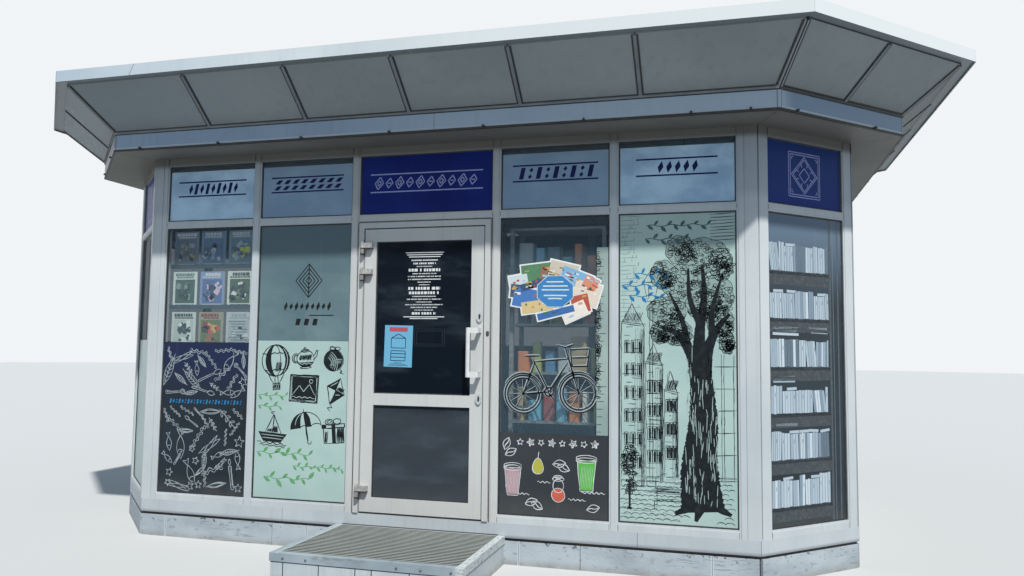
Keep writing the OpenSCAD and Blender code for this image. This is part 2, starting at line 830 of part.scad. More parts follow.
module step_frame() {
    leg = angle_w - angle_t;
    front = board_t + angle_t - step_d;
    under = grating_foot - ledger_h;
    color("#b4bcc6") on_side(0) {
        difference() {
            block([-step_h, -step_d, step_z - angle_w], [step_h, 0, step_z]);
            block([angle_t - step_h, angle_t - step_d, step_z - angle_w - cut],
                  [step_h - angle_t, cut, rim_foot]);
            block([angle_w - step_h, angle_w - step_d, rim_foot - cut],
                  [step_h - angle_w, cut, step_z + cut]);
        }
        for (s = [-1, 1]) {
            x = s * (inner_w - seat - leg / 2);
            block([x - leg / 2, front + seat, under], [x + leg / 2, 0, grating_foot]);
            for (y = [front + seat, -leg])
                block([x - leg / 2, y, 0], [x + leg / 2, y + leg, under]);
        }
    }
}

// A board that stands on the ground under the rim, from x0 to x1 along the front
module step_board(x0, x1) {
    block([x0 + board_joint / 2, angle_t + seat - step_d, 0],
          [x1 - board_joint / 2, angle_t + board_t - step_d, rim_foot - seat]);
}

// Boards behind the rim: the front has a narrow one in the middle, whole ones beside it and
// a cut one at each end, and each side has a row of equal ones
module step_boards() {
    mid = middle_board_w / 2;
    whole = floor((step_h - angle_t - mid) / board_w);
    side_count = round(step_d / board_w);
    side_run = (step_d - angle_t - board_t) / side_count;
    color("#aebfcc") on_side(0) {
        step_board(-mid, mid);
        for (s = [0, 1]) mirror([s, 0, 0]) {
            for (i = [0 : whole - 1]) step_board(mid + i * board_w, mid + (i + 1) * board_w);
            step_board(mid + whole * board_w, step_h - angle_t);
            for (i = [0 : side_count - 1])
                block([inner_w, board_joint / 2 - (i + 1) * side_run, 0],
                      [step_h - angle_t - seat, -board_joint / 2 - i * side_run, rim_foot - seat]);
        }
    }
}

// Slats from side to side with four bars under their tops that tie them together
module step_grating() {
    w = step_w - 2 * (angle_w + grating_gap);
    d = step_d - angle_w - grating_gap;
    count = floor((d - bar_t) / bar_pitch);
    y0 = grating_gap / 2 - d + (d - bar_t - count * bar_pitch) / 2;
    y1 = y0 + count * bar_pitch + bar_t;
    color("#7f8a82") on_side(0) {
        for (i = [0 : count])
            block([-w / 2, y0 + i * bar_pitch, grating_foot], [w / 2, y0 + i * bar_pitch + bar_t, step_z]);
        for (x = [-w / 2, -w / 6, w / 6 - bar_t, w / 2 - bar_t])
            block([x, y0, grating_foot], [x + bar_t, y1, step_z - bar_h / 3]);
    }
}

// Magazine rack in the first bay: trays fixed to the inner faces of its frame
rack_bay = long_bays()[0];
rack_top = z_transom - 19;
function magazine_z(row) = rack_top - magazine_h - row * (magazine_h + magazine_space);

module magazine_rack() {
    lap = 15;
    lip_h = 26;
    x0 = rack_bay[0] - lap;
    x1 = rack_bay[1] + lap;
    color("#9aa3a8") on_side(0) for (row = [0 : magazine_rows - 1]) difference() {
        block([x0, frame_d, magazine_z(row) - tray_t],
              [x1, frame_d + tray_d + 2 * tray_t, magazine_z(row) + lip_h]);
        block([x0 + tray_t, frame_d + tray_t, magazine_z(row)],
              [x1 - tray_t, frame_d + tray_t + tray_d, magazine_z(row) + lip_h + cut]);
    }
}

module magazines() {
    pitch = (bay_w - magazine_gap) / magazine_columns;
    color("#cfd6c9") on_side(0) for (row = [0 : magazine_rows - 1], i = [0 : magazine_columns - 1]) {
        x = rack_bay[0] + magazine_gap + i * pitch;
        block([x, frame_d + tray_t, magazine_z(row)],
              [x + pitch - magazine_gap, frame_d + tray_t + magazine_t, magazine_z(row) + magazine_h]);
    }
}

// Open display shelf on the floor behind the bay to the right of the door
module display_shelf() {
    b = long_bays()[door_bay + 1];
    inset = 40;
    behind = 60;
    x0 = b[0] + inset;
    x1 = b[1] - inset;
    y0 = frame_d + behind;
    z1 = z_transom - behind;
    run = (z1 - z_floor - shelf_board_t) / shelf_boards;
    color("#8a8478") on_side(0) {
        for (x = [x0, x1 - shelf_post_w], y = [y0, y0 + shelf_d - shelf_post_w])
            block([x, y, z_floor], [x + shelf_post_w, y + shelf_post_w, z1]);
        for (i = [1 : shelf_boards])
            block([x0, y0, z_floor + i * run], [x1, y0 + shelf_d, z_floor + i * run + shelf_board_t]);
    }
}

plinth();
base_frame();
floor_slab();  // floor
sill_band();
corner_posts();
front_mullions();
back_mullions();
end_mullions();
corner_jambs();
front_rails();
back_rails();
end_rails();
corner_rails();
front_lower_glass();
front_upper_glass();
back_glass();
end_glass();
corner_lower_glass();
corner_sign_panels();
door_sign_panel();
door_frame();
soffit();
ceiling();
eaves_band();
edge_strip();
flare_panels();
flare_ribs_front();
flare_ribs_back();
flare_ribs_ends();
flare_ribs_corners();
coping();
roof_deck();
roof_curb();
step_frame();
step_boards();
step_grating();
magazine_rack();
magazines();
display_shelf();
door_leaf();
door_panes();
door_handle();
door_locks();
hinge_knuckles();
hinge_brackets();
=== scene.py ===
# %% [markdown]
# # Dressing a street kiosk
# The kiosk is a glazed aluminium pavilion with cut corners and a flared skirt under its roof.
# Its solids come packed from the construction, in metres, with the origin on the ground in the
# middle of the plan and the door side facing -Y. Blender gives them their surfaces, and adds
# what is too thin for the construction: rubber lips, films on the glass, drawings and wear.
# First the frame is opened and measured. Every piece takes its place from these numbers, so
# nothing has to be fitted by eye.

# %% Open the frame
import math
import bpy
import numpy as np
from mathutils import Matrix, Vector


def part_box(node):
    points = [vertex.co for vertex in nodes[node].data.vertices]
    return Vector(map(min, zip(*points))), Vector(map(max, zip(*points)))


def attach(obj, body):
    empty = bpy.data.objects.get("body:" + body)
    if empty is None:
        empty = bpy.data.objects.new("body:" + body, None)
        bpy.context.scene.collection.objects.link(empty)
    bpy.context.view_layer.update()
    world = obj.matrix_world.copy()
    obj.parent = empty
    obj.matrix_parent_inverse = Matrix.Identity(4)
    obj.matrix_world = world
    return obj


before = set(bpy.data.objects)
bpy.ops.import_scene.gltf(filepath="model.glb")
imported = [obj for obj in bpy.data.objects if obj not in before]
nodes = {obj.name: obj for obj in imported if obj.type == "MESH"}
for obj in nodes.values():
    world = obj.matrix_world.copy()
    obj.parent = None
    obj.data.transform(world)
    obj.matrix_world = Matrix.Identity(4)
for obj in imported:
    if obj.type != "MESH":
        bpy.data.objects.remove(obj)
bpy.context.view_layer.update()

# %% [markdown]
# ## The camera
# A photograph's view is a position, three angles and a lens. The view turns left from +Y by the
# yaw, up by the pitch and rolls about itself. The camera looks along its own -Z, so its matrix
# has right, up and backwards as columns.

# %% Place the camera
def look(yaw, pitch, roll):
    """Matrix of a camera's axes: ahead from yaw and pitch, then right and up turned by the roll."""
    y, p, r = (math.radians(angle) for angle in (yaw, pitch, roll))
    ahead = Vector((-math.sin(y) * math.cos(p), math.cos(y) * math.cos(p), math.sin(p)))
    right = Vector((math.cos(y), math.sin(y), 0))
    up = right.cross(ahead)
    right, up = math.cos(r) * right + math.sin(r) * up, math.cos(r) * up - math.sin(r) * right
    return Matrix((right, up, -ahead)).transposed().to_4x4()


scene = bpy.context.scene
scene.view_settings.view_transform = "Standard"
camera = bpy.data.objects.new("camera", bpy.data.cameras.new("camera"))
LENS, SENSOR = 28.622, 36
STAND = (2.1316, -7.361538, 1.4365)
YAW, PITCH, ROLL = 15.342, 4.338, 0.6382
camera.data.lens, camera.data.sensor_width = LENS, SENSOR
camera.matrix_world = Matrix.Translation(STAND) @ look(YAW, PITCH, ROLL)
scene.collection.objects.link(camera)
scene.camera = camera
print("lens", camera.data.lens, "mm, at", STAND)

# %% [markdown]
# ## Light and floor
# A soft sun from the front right throws the skirt's shadow over the upper glazing, as in the
# photograph. The world fills the shade with a pale, slightly blue light. Camera, gloss and
# glass see a plain near-white background instead, which Light Path tells apart, so that the
# background adds no light to the object. The floor is made in the same way: pale where it is
# looked at, and as dark as paving to the light that it throws back up.

# %% Light and floor
def looked_at(tree):
    """1 for rays of the camera, of gloss and through glass, and 0 for rays of diffuse light."""
    path = tree.nodes.new("ShaderNodeLightPath")
    seen = path.outputs["Is Camera Ray"]
    for ray in ("Is Glossy Ray", "Is Transmission Ray"):
        either = tree.nodes.new("ShaderNodeMath")
        either.operation = "MAXIMUM"
        tree.links.new(seen, either.inputs[0])
        tree.links.new(path.outputs[ray], either.inputs[1])
        seen = either.outputs[0]
    return seen


def set_up_world(fill, background):
    """World with a lighting colour and strength, and another plain colour where it is looked at."""
    world = bpy.data.worlds.new("studio")
    world.use_nodes = True
    tree = world.node_tree
    tree.nodes.clear()
    mix = tree.nodes.new("ShaderNodeMixShader")
    tree.links.new(looked_at(tree), mix.inputs[0])
    for socket, (colour, strength) in zip(list(mix.inputs)[1:], (fill, background)):
        light = tree.nodes.new("ShaderNodeBackground")
        light.inputs["Color"].default_value = colour
        light.inputs["Strength"].default_value = strength
        tree.links.new(light.outputs[0], socket)
    output = tree.nodes.new("ShaderNodeOutputWorld")
    tree.links.new(mix.outputs[0], output.inputs["Surface"])
    return world


FILL = ((0.55, 0.77, 1.0, 1), 0.43)
BACKGROUND = ((0.93, 0.95, 0.97, 1), 0.95)
TO_SUN = (0.616, -1.0, 1.64)
scene.world = set_up_world(FILL, BACKGROUND)
sun = bpy.data.objects.new("sun", bpy.data.lights.new("sun", "SUN"))
sun.data.energy, sun.data.angle, sun.data.color = 4.25, math.radians(1.5), (1.0, 0.975, 0.92)
sun.rotation_euler = Vector(TO_SUN).to_track_quat("Z", "Y").to_euler()
scene.collection.objects.link(sun)


def round_floor(radius, corners):
    """Disc on the ground: corners at radius times the cosine and sine of even angles."""
    turn = np.linspace(0, 2 * np.pi, corners, endpoint=False)
    rim = np.column_stack([radius * np.cos(turn), radius * np.sin(turn), 0 * turn])
    mesh = bpy.data.meshes.new("floor_disc")
    mesh.from_pydata(rim.tolist(), [], [list(range(corners))])
    return bpy.data.objects.new("floor_disc", mesh)


floor_disc = round_floor(70, 96)
pale = bpy.data.materials.new("pale_floor")
pale.use_nodes = True
surface = pale.node_tree.nodes["Principled BSDF"]
surface.inputs["Roughness"].default_value = 0.9
shown = pale.node_tree.nodes.new("ShaderNodeMix")
shown.data_type = "RGBA"
THROWN_BACK, LOOKED_AT = (0.24, 0.25, 0.26, 1), (0.52, 0.525, 0.53, 1)
shown.inputs[6].default_value, shown.inputs[7].default_value = THROWN_BACK, LOOKED_AT
pale.node_tree.links.new(looked_at(pale.node_tree), shown.inputs[0])
pale.node_tree.links.new(shown.outputs[2], surface.inputs["Base Color"])
floor_disc.data.materials.append(pale)
scene.collection.objects.link(floor_disc)
print("sun", sun.data.energy, "floor corners", len(floor_disc.data.vertices))

# %% [markdown]
# ## Coordinates on a wall
# The plan is a rectangle with its corners cut at 45 degrees: eight walls, numbered from the
# front one counter-clockwise. Nearly everything that is added lies on a wall, so it is written
# in the wall's own coordinates: s along it from its middle, z up, and out from its face.
# Moving a wall outwards by e lengthens it by 2 e tan 22.5.

# %% Walls of the plan
T = math.tan(math.radians(22.5))
half_x, half_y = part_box("sill_band")[1][:2]
CUT_LENGTH = 0.92
cut_leg = CUT_LENGTH * math.sin(math.radians(45))
half_front, half_end = half_x - cut_leg, half_y - cut_leg
corners = np.array([[-half_front, -half_y], [half_front, -half_y], [half_x, -half_end],
                    [half_x, half_end], [half_front, half_y], [-half_front, half_y],
                    [-half_x, half_end], [-half_x, -half_end]])
lengths = np.linalg.norm(np.roll(corners, -1, 0) - corners, axis=1)


def on_wall(k, s, z, out):
    """Points in space: the middle of wall k, plus s along it, plus out along its normal, at z."""
    a = math.radians(45 * k)
    along, normal = (math.cos(a), math.sin(a)), (math.sin(a), -math.cos(a))
    middle = (corners[k] + corners[(k + 1) % 8]) / 2
    s, z, out = np.broadcast_arrays(*(np.asarray(v, float) for v in (s, z, out)))
    return np.stack([middle[i] + along[i] * s + normal[i] * out for i in (0, 1)] + [z], -1)


# Levels and bays, as in the construction
Z_SILL, Z_FRAME, Z_GLASS, Z_TRANSOM = 0.175, 0.27, 0.325, 2.35
Z_UPPER, Z_HEAD, Z_WALL = 2.405, 2.84, 2.9
GLASS, DOOR_GLASS = -0.018, -0.012
DOOR_SIDE = 0.507
LONG_BAYS = [(-2.147, -1.387), (-1.327, -0.567), (-DOOR_SIDE, DOOR_SIDE), (0.567, 1.327),
             (1.387, 2.147)]
END_BAYS = [(-1.2, -0.44), (-0.38, 0.38), (0.44, 1.2)]
CUT_BAY = [(-0.36, 0.36)]


def bays_of(k):
    return CUT_BAY if k % 2 else LONG_BAYS if k % 4 == 0 else END_BAYS


def window_bays(k):
    """The bays of a wall without the door's."""
    return [bay for bay in bays_of(k) if k or bay[1] != DOOR_SIDE]


print("walls", np.round(lengths, 3).tolist())

# %% [markdown]
# ## Shapes on a wall
# Each builder returns points and faces worked out as whole arrays: blocks, lips round an
# opening, flat bands along drawn lines, plates with any outline and turned knobs. One function
# turns them into an object. Several colours on one piece are kept as a colour per face, in the
# attribute "tone" that the printed materials read.

# %% Make a piece
def piece(name, shape, finish, body="kiosk", tones=None, smooth=False):
    """Object with the shape's points and faces and a finish, that rides on a body."""
    points, faces = shape
    mesh = bpy.data.meshes.new(name)
    mesh.from_pydata(np.asarray(points, float).reshape(-1, 3).tolist(), [],
                     [list(map(int, f)) for f in faces])
    if tones is not None:
        sizes = [len(f) for f in faces]
        layer = mesh.color_attributes.new("tone", "FLOAT_COLOR", "CORNER")
        layer.data.foreach_set("color", np.repeat(np.asarray(tones, float), sizes, axis=0).ravel())
    mesh.materials.append(finish)
    mesh.update()
    obj = bpy.data.objects.new(name, mesh)
    scene.collection.objects.link(obj)
    if smooth:
        mesh.shade_smooth()
    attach(obj, body)
    print(name, len(faces), "faces on", body)
    return obj


def join(*shapes):
    """Puts shapes together: points in a row, and each shape's faces moved on by those before."""
    points, faces, before = [], [], 0
    for p, f in shapes:
        p = np.asarray(p, float).reshape(-1, 3)
        faces += [[before + int(i) for i in face] for face in f]
        points.append(p)
        before += len(p)
    return np.concatenate(points), faces


# %% Blocks and lips
BLOCK = np.array([[0, 3, 2, 1], [4, 5, 6, 7],
                  [0, 1, 5, 4], [1, 2, 6, 5], [2, 3, 7, 6], [3, 0, 4, 7]])


def blocks(k, spans):
    """Blocks on wall k, each from s0 to s1, z0 to z1 and out0 to out1: eight corners, six faces."""
    spans = np.atleast_2d(np.asarray(spans, float))
    points = on_wall(k, spans[:, [0, 1, 1, 0] * 2], spans[:, [2, 2, 3, 3] * 2],
                     spans[:, [4] * 4 + [5] * 4])
    return points.reshape(-1, 3), (np.arange(len(spans))[:, None, None] * 8 + BLOCK).reshape(-1, 4)


def lips(k, openings, profile):
    """Lips round openings of wall k. The profile's points (inset, out) are carried round the
    four corners of s0, s1, z0, z1, each corner moved in by the inset."""
    openings, profile = np.atleast_2d(np.asarray(openings, float)), np.asarray(profile, float)
    sx, sz = np.array([0, 1, 1, 0]), np.array([0, 0, 1, 1])
    inset = profile[None, :, None, 0]
    s = openings[:, None, sx] + inset * (1 - 2 * sx)
    z = openings[:, None, 2 + sz] + inset * (1 - 2 * sz)
    points = on_wall(k, s, z, profile[None, :, None, 1] + 0 * s)
    n, m = len(openings), len(profile)
    grid = np.arange(n * m * 4).reshape(n, m, 4)
    a, b = grid[:, :-1], grid[:, 1:]
    faces = np.stack([a, np.roll(a, -1, 2), np.roll(b, -1, 2), b], -1)
    return points.reshape(-1, 3), faces.reshape(-1, 4)


# %% Plates and knobs
def plates(k, outlines, out0, out1):
    """Plates with any outline of (s, z) points, counter-clockwise: two faces and walls between."""
    points, faces, before = [], [], 0
    for outline in outlines:
        o = np.asarray(outline, float)
        n = len(o)
        points.append(on_wall(k, np.tile(o[:, 0], 2), np.tile(o[:, 1], 2),
                              np.repeat([out0, out1], n)))
        i = np.arange(n)
        faces.append((before + n + i).tolist())
        faces.append((before + i[::-1]).tolist())
        faces += (before + np.column_stack([i, (i + 1) % n, (i + 1) % n + n, i + n])).tolist()
        before += 2 * n
    return np.concatenate(points), faces


def knobs(k, places, profile, sides=20):
    """Turned knobs on wall k: the profile's points (radius, out) are carried round each place
    (s, z) on even angles, from the rim to the crown, and the last ring is closed by a face."""
    places, profile = np.atleast_2d(np.asarray(places, float)), np.asarray(profile, float)
    turn = np.linspace(0, 2 * np.pi, sides, endpoint=False)
    r = profile[None, :, None, 0]
    s = places[:, None, None, 0] + r * np.cos(turn)
    z = places[:, None, None, 1] + r * np.sin(turn)
    points = on_wall(k, s, z, profile[None, :, None, 1] + 0 * s)
    grid = np.arange(len(places) * len(profile) * sides).reshape(len(places), len(profile), sides)
    a, b = grid[:, :-1], grid[:, 1:]
    faces = np.stack([a, np.roll(a, -1, 2), np.roll(b, -1, 2), b], -1).reshape(-1, 4).tolist()
    return points.reshape(-1, 3), faces + grid[:, -1].tolist()


# %% [markdown]
# ## Drawn lines
# A drawn line is a flat band: its points are spaced evenly, moved a little to and fro as a hand
# would, and doubled to both sides along the normal. The band swells in the middle and thins at
# its ends. The random numbers have a fixed seed, so every run draws the same lines.

# %% Bands along lines
hand = np.random.default_rng(11)


def even_points(line, step):
    """The line's points again at even steps of its length, found by interpolation."""
    line = np.asarray(line, float)
    run = np.concatenate([[0], np.cumsum(np.linalg.norm(np.diff(line, axis=0), axis=1))])
    count = max(3, int(run[-1] / step) + 1)
    at = np.linspace(0, run[-1], count)
    return np.column_stack([np.interp(at, run, line[:, 0]), np.interp(at, run, line[:, 1])])


def ribbon(k, line, half, out):
    """Flat band on wall k: each point of the line, moved by half a width to both sides of it."""
    way = np.gradient(line, axis=0)
    way /= np.linalg.norm(way, axis=1)[:, None] + 1e-9
    side = np.column_stack([way[:, 1], -way[:, 0]]) * half[:, None]
    q = np.stack([line + side, line - side], 1).reshape(-1, 2)
    i = 2 * np.arange(len(line) - 1)
    return on_wall(k, q[:, 0], q[:, 1], out), np.column_stack([i, i + 2, i + 3, i + 1])


def bands(k, lines, width, out, wobble=0.0, taper=0.6, step=0.008):
    """Drawn lines: ribbons whose width is (1 - taper) at the ends and 1 in the middle, by the root
    of a sine, with the points moved by the wobble."""
    shapes = []
    for line in lines:
        p = even_points(line, step)
        n = len(p)
        if wobble:
            knots = hand.normal(0, wobble, (max(3, n // 6), 2))
            at, where = np.linspace(0, 1, n), np.linspace(0, 1, len(knots))
            p = p + np.column_stack([np.interp(at, where, knots[:, i]) for i in (0, 1)])
        swell = np.sqrt(np.sin(np.linspace(0.02, np.pi - 0.02, n)))
        shapes.append(ribbon(k, p, width / 2 * (1 - taper + taper * swell), out))
    return join(*shapes)


def curve(points, count=10):
    """Smooth line through the points: every stretch is blended from its four neighbours."""
    p = np.asarray(points, float)
    p = np.vstack([2 * p[0] - p[1], p, 2 * p[-1] - p[-2]])
    t = np.linspace(0, 1, count, endpoint=False)[:, None]
    parts = [b + 0.5 * t * (c - a) + 0.5 * t ** 2 * (2 * a - 5 * b + 4 * c - d)
             + 0.5 * t ** 3 * (3 * b - a - 3 * c + d)
             for a, b, c, d in zip(p, p[1:], p[2:], p[3:])]
    return np.vstack(parts + [p[-2:-1]])


def limbs(k, parts, out, rough=0.03):
    """Tapering ribbons: points of a smooth line, a width at its start and one at its end."""
    shapes = []
    for i, (points, w0, w1) in enumerate(parts):
        line = even_points(curve(points), 0.008)
        half = np.linspace(w0, w1, len(line)) / 2 * (1 + hand.normal(0, rough, len(line)))
        shapes.append(ribbon(k, line, half, out + 0.00004 * i))
    return join(*shapes)


def arc(x, y, rx, ry=None, start=0, end=360, count=36):
    """Part of an ellipse: the centre plus the radii times the cosine and sine of even angles."""
    t = np.radians(np.linspace(start, end, count))
    return np.column_stack([x + rx * np.cos(t), y + (rx if ry is None else ry) * np.sin(t)])


def path(*numbers):
    return np.array(numbers, float).reshape(-1, 2)


def rectangle(x0, y0, x1, y1):
    return path(x0, y0, x1, y0, x1, y1, x0, y1, x0, y0)


def wave(x0, x1, y, rise, turns, count=60):
    """Level wave: y plus rise times the sine of the turns."""
    x = np.linspace(x0, x1, count)
    return np.column_stack([x, y + rise * np.sin(2 * np.pi * turns * (x - x0) / (x1 - x0))])


def place(lines, s, z, size, turn=0.0):
    """Lines of a unit drawing, turned, sized and moved to (s, z)."""
    c, d = math.cos(math.radians(turn)), math.sin(math.radians(turn))
    return [np.asarray(line) @ np.array([[c, d], [-d, c]]) * size + (s, z) for line in lines]


# %% [markdown]
# ## Finishes
# A finish is one Principled shader with patterns that read Object coordinates, so they are
# measured in metres and don't slide. The nodes could be placed by hand in the shader editor; a
# small class adds them one at a time instead, so that every finish reads as a list of coats: a
# cloudy ground first, then one colour after another over it. A number that is the same
# everywhere is set on the shader's own socket.

# %% A finish, built up node by node
def ink(code):
    """Linear colour from a hex code: each part over 255, then the sRGB curve undone."""
    parts = np.array([int(code[i:i + 2], 16) for i in (0, 2, 4)]) / 255
    linear = np.where(parts <= 0.04045, parts / 12.92, ((parts + 0.055) / 1.055) ** 2.4)
    return (*linear.tolist(), 1.0)


class Finish:
    """Material whose nodes are added by short calls. Sockets or plain values feed every input,
    and the colour is built up in tone until coat() sends it to the shader."""

    def __init__(self, name, colour, rough=0.5, **fixed):
        self.material = bpy.data.materials.new(name)
        self.material.use_nodes = True
        self.tree = self.material.node_tree
        self.shader = self.tree.nodes["Principled BSDF"]
        self.tone = ink(colour)
        fixed = {"Base Color": self.tone, "Roughness": rough, **fixed}
        for key, value in fixed.items():
            self.shader.inputs[key.replace("_", " ")].default_value = value
        self.object = self.add("ShaderNodeTexCoord").outputs["Object"]
        self.x, self.y, self.z = self.add("ShaderNodeSeparateXYZ", {0: self.object}).outputs

    def add(self, kind, inputs=None, **settings):
        node = self.tree.nodes.new(kind)
        for key, value in settings.items():
            setattr(node, key, value)
        for key, value in (inputs or {}).items():
            self.feed(node.inputs[key], value)
        return node

    def feed(self, socket, value):
        if isinstance(value, bpy.types.NodeSocket):
            self.tree.links.new(value, socket)
        else:
            socket.default_value = value

    def sum(self, how, a, b=0.0, c=0.0):
        return self.add("ShaderNodeMath", {0: a, 1: b, 2: c}, operation=how).outputs[0]

    def times(self, a, b):
        return self.sum("MULTIPLY", a, b)

    def size(self, value):
        return self.sum("ABSOLUTE", value)

    def noise(self, scale, detail=4.0, stretch=(1, 1, 1)):
        """Cloudy pattern, about 1 / scale metres across, finer along an axis that is stretched."""
        place = self.add("ShaderNodeMapping", {"Vector": self.object, "Scale": stretch}).outputs[0]
        return self.add("ShaderNodeTexNoise", {"Vector": place, "Scale": scale, "Detail": detail,
                                               "Roughness": 0.55}).outputs[0]

    def ramp(self, value, low, high, start=0.0, end=1.0):
        """Smooth step from start to end while the value goes from low to high."""
        return self.add("ShaderNodeMapRange", {"Value": value, "From Min": low, "From Max": high,
                                               "To Min": start, "To Max": end},
                        interpolation_type="SMOOTHSTEP").outputs[0]

    def patches(self, scale, detail, low, high, most=1.0, stretch=(1, 1, 1)):
        """The parts of a cloudy pattern that rise from low to high."""
        return self.ramp(self.noise(scale, detail, stretch), low, high, 0, most)

    def near(self, value, places, width):
        """1 within half the width of any of the places, else 0."""
        total = 0.0
        for at in places:
            off = self.size(self.sum("SUBTRACT", value, at))
            total = self.sum("ADD", total, self.sum("LESS_THAN", off, width / 2))
        return self.sum("MINIMUM", total, 1.0)

    def mitres(self, width):
        """1 along the eight lines where two walls meet, at any overhang."""
        off = [self.sum("SUBTRACT", self.size(a), b) for a, b in (
            (self.x, half_front), (self.y, half_y), (self.y, half_end), (self.x, half_x))]
        one = self.size(self.sum("SUBTRACT", off[0], self.times(off[1], T)))
        two = self.size(self.sum("SUBTRACT", off[2], self.times(off[3], T)))
        return self.sum("LESS_THAN", self.sum("MINIMUM", one, two), width / 2)

    def overhang(self):
        """Distance outside the plan's walls: the largest of those to an end, a front and a cut."""
        ax, ay = self.size(self.x), self.size(self.y)
        past = self.sum("SUBTRACT", self.sum("ADD", ax, ay), half_front + half_y)
        straight = self.sum("MAXIMUM", self.sum("SUBTRACT", ax, half_x),
                            self.sum("SUBTRACT", ay, half_y))
        return self.sum("MAXIMUM", self.times(past, math.sqrt(0.5)), straight)

    def faces(self, axis, low, high):
        """0 to 1 while the face's direction along an axis goes from low to high."""
        normal = self.add("ShaderNodeTexCoord").outputs["Normal"]
        way = self.add("ShaderNodeSeparateXYZ", {0: normal}).outputs[axis]
        return self.ramp(way, low, high)

    def runs(self, fineness=26.0, low=0.5, high=0.72):
        """Rain streaks: noise drawn out downwards."""
        return self.patches(1.0, 5.0, low, high, 1.0, (fineness, fineness, 0.9))

    def dust(self, high, low, scale, detail=5.0):
        """Cloudy dirt that starts at a height and is thickest at a lower one."""
        return self.times(self.ramp(self.z, high, low), self.noise(scale, detail))

    def mix(self, amount, first, second):
        """Colour between two, by the amount."""
        inputs = {0: amount, 6: first, 7: second}
        return self.add("ShaderNodeMix", inputs, data_type="RGBA").outputs[2]

    def ground(self, scale, detail, first, second, low=0.3, high=0.7, stretch=(1, 1, 1)):
        """Cloudy ground between two colours."""
        cloud = self.patches(scale, detail, low, high, 1.0, stretch)
        self.tone = self.mix(cloud, ink(first), ink(second))

    def over(self, code, amount, strength=None):
        """Another colour over the tone, by an amount from 0 to 1 and, if given, a strength."""
        if strength is not None:
            amount = self.times(amount, strength)
        self.tone = self.mix(amount, self.tone, ink(code))

    def relief(self, height, depth):
        bump = self.add("ShaderNodeBump", {"Height": height, "Distance": depth, "Strength": 1.0})
        self.tree.links.new(bump.outputs[0], self.shader.inputs["Normal"])

    def coat(self):
        """Sends the tone to the shader."""
        self.feed(self.shader.inputs["Base Color"], self.tone)
        return self.material

    def lay(self, *names):
        """Gives this finish to CAD nodes."""
        for name in names:
            nodes[name].data.materials.clear()
            nodes[name].data.materials.append(self.coat())
        print(self.material.name, len(self.tree.nodes), "nodes, on", *names)


# %% [markdown]
# ### Coated aluminium
# The frames are silver-grey coated profiles: satin, a little uneven in tone, with faint rain
# streaks, dust low down and the fine orange skin of sprayed coating. They are warmer round the
# door. Above the transom a bluer painted shade stands for the skirt's shadow, and the head rails
# are darker still, with painted shade and dust in one tone.

# %% Frame coating
frame_coat = Finish("frame_coat", "C6CBD1", 0.4, Specular_IOR_Level=0.45)
frame_coat.ground(1.3, 4, "BBC3C8", "CBD1D4")
frame_coat.over("D0C8C0", frame_coat.ramp(frame_coat.size(frame_coat.x), 0.7, 0.5, 0, 0.4))
frame_coat.over("8F948F", frame_coat.runs(), 0.14)
frame_coat.over("A09C90", frame_coat.dust(0.75, 0.25, 9), 0.2)
# Bluer from the transom up: painted shade of the skirt.
frame_coat.over("5A7188", frame_coat.ramp(frame_coat.z, 2.41, 2.5, 0, 0.3))
# Head rails darkest, in one tone: painted shade with dust.
frame_coat.over("66635A", frame_coat.ramp(frame_coat.z, 2.81, 2.86, 0, 0.9))
uneven = frame_coat.ramp(frame_coat.noise(30, 2), 0.3, 0.7, 0.34, 0.46)
frame_coat.feed(frame_coat.shader.inputs["Roughness"], uneven)
frame_coat.relief(frame_coat.noise(900, 1), 0.00006)
frame_coat.lay("corner_posts", "front_mullions", "back_mullions", "end_mullions", "corner_jambs",
               "front_rails", "back_rails", "end_rails", "corner_rails", "door_frame", "door_leaf")

# %% Sill band
JOINT_AND_SHADE = "3A3E42"
sill_coat = Finish("sill_coat", "BEC5CD", 0.45)
sill_coat.ground(2.1, 5, "B1B8BE", "BFC6CB")
sill_coat.over("8C9094", sill_coat.runs(30, 0.5, 0.75), 0.14)
sill_coat.over("6C7074", sill_coat.ramp(sill_coat.z, 0.2, 0.175, 0, 0.7))
sill_coat.over(JOINT_AND_SHADE, sill_coat.mitres(0.003))
# A dark line on the sill just above the step, as wide as the step: painted shade.
step_shade_line = sill_coat.times(sill_coat.near(sill_coat.z, [0.1905], 0.007),
                              sill_coat.near(sill_coat.x, [0.0], 1.16))
sill_coat.over(JOINT_AND_SHADE, step_shade_line, 0.8)
sill_coat.relief(sill_coat.noise(5, 3), 0.002)
sill_coat.lay("sill_band")

# %% [markdown]
# ### Old paint near the ground
# The plinth boards are painted, and cracks run along them. Near their top edge and by the step
# the paint has come off in chips and the grey board shows. Rain splashes earth on the foot. A
# noise that is squeezed in height gives the long cracks, and a coarse one leaves parts whole.

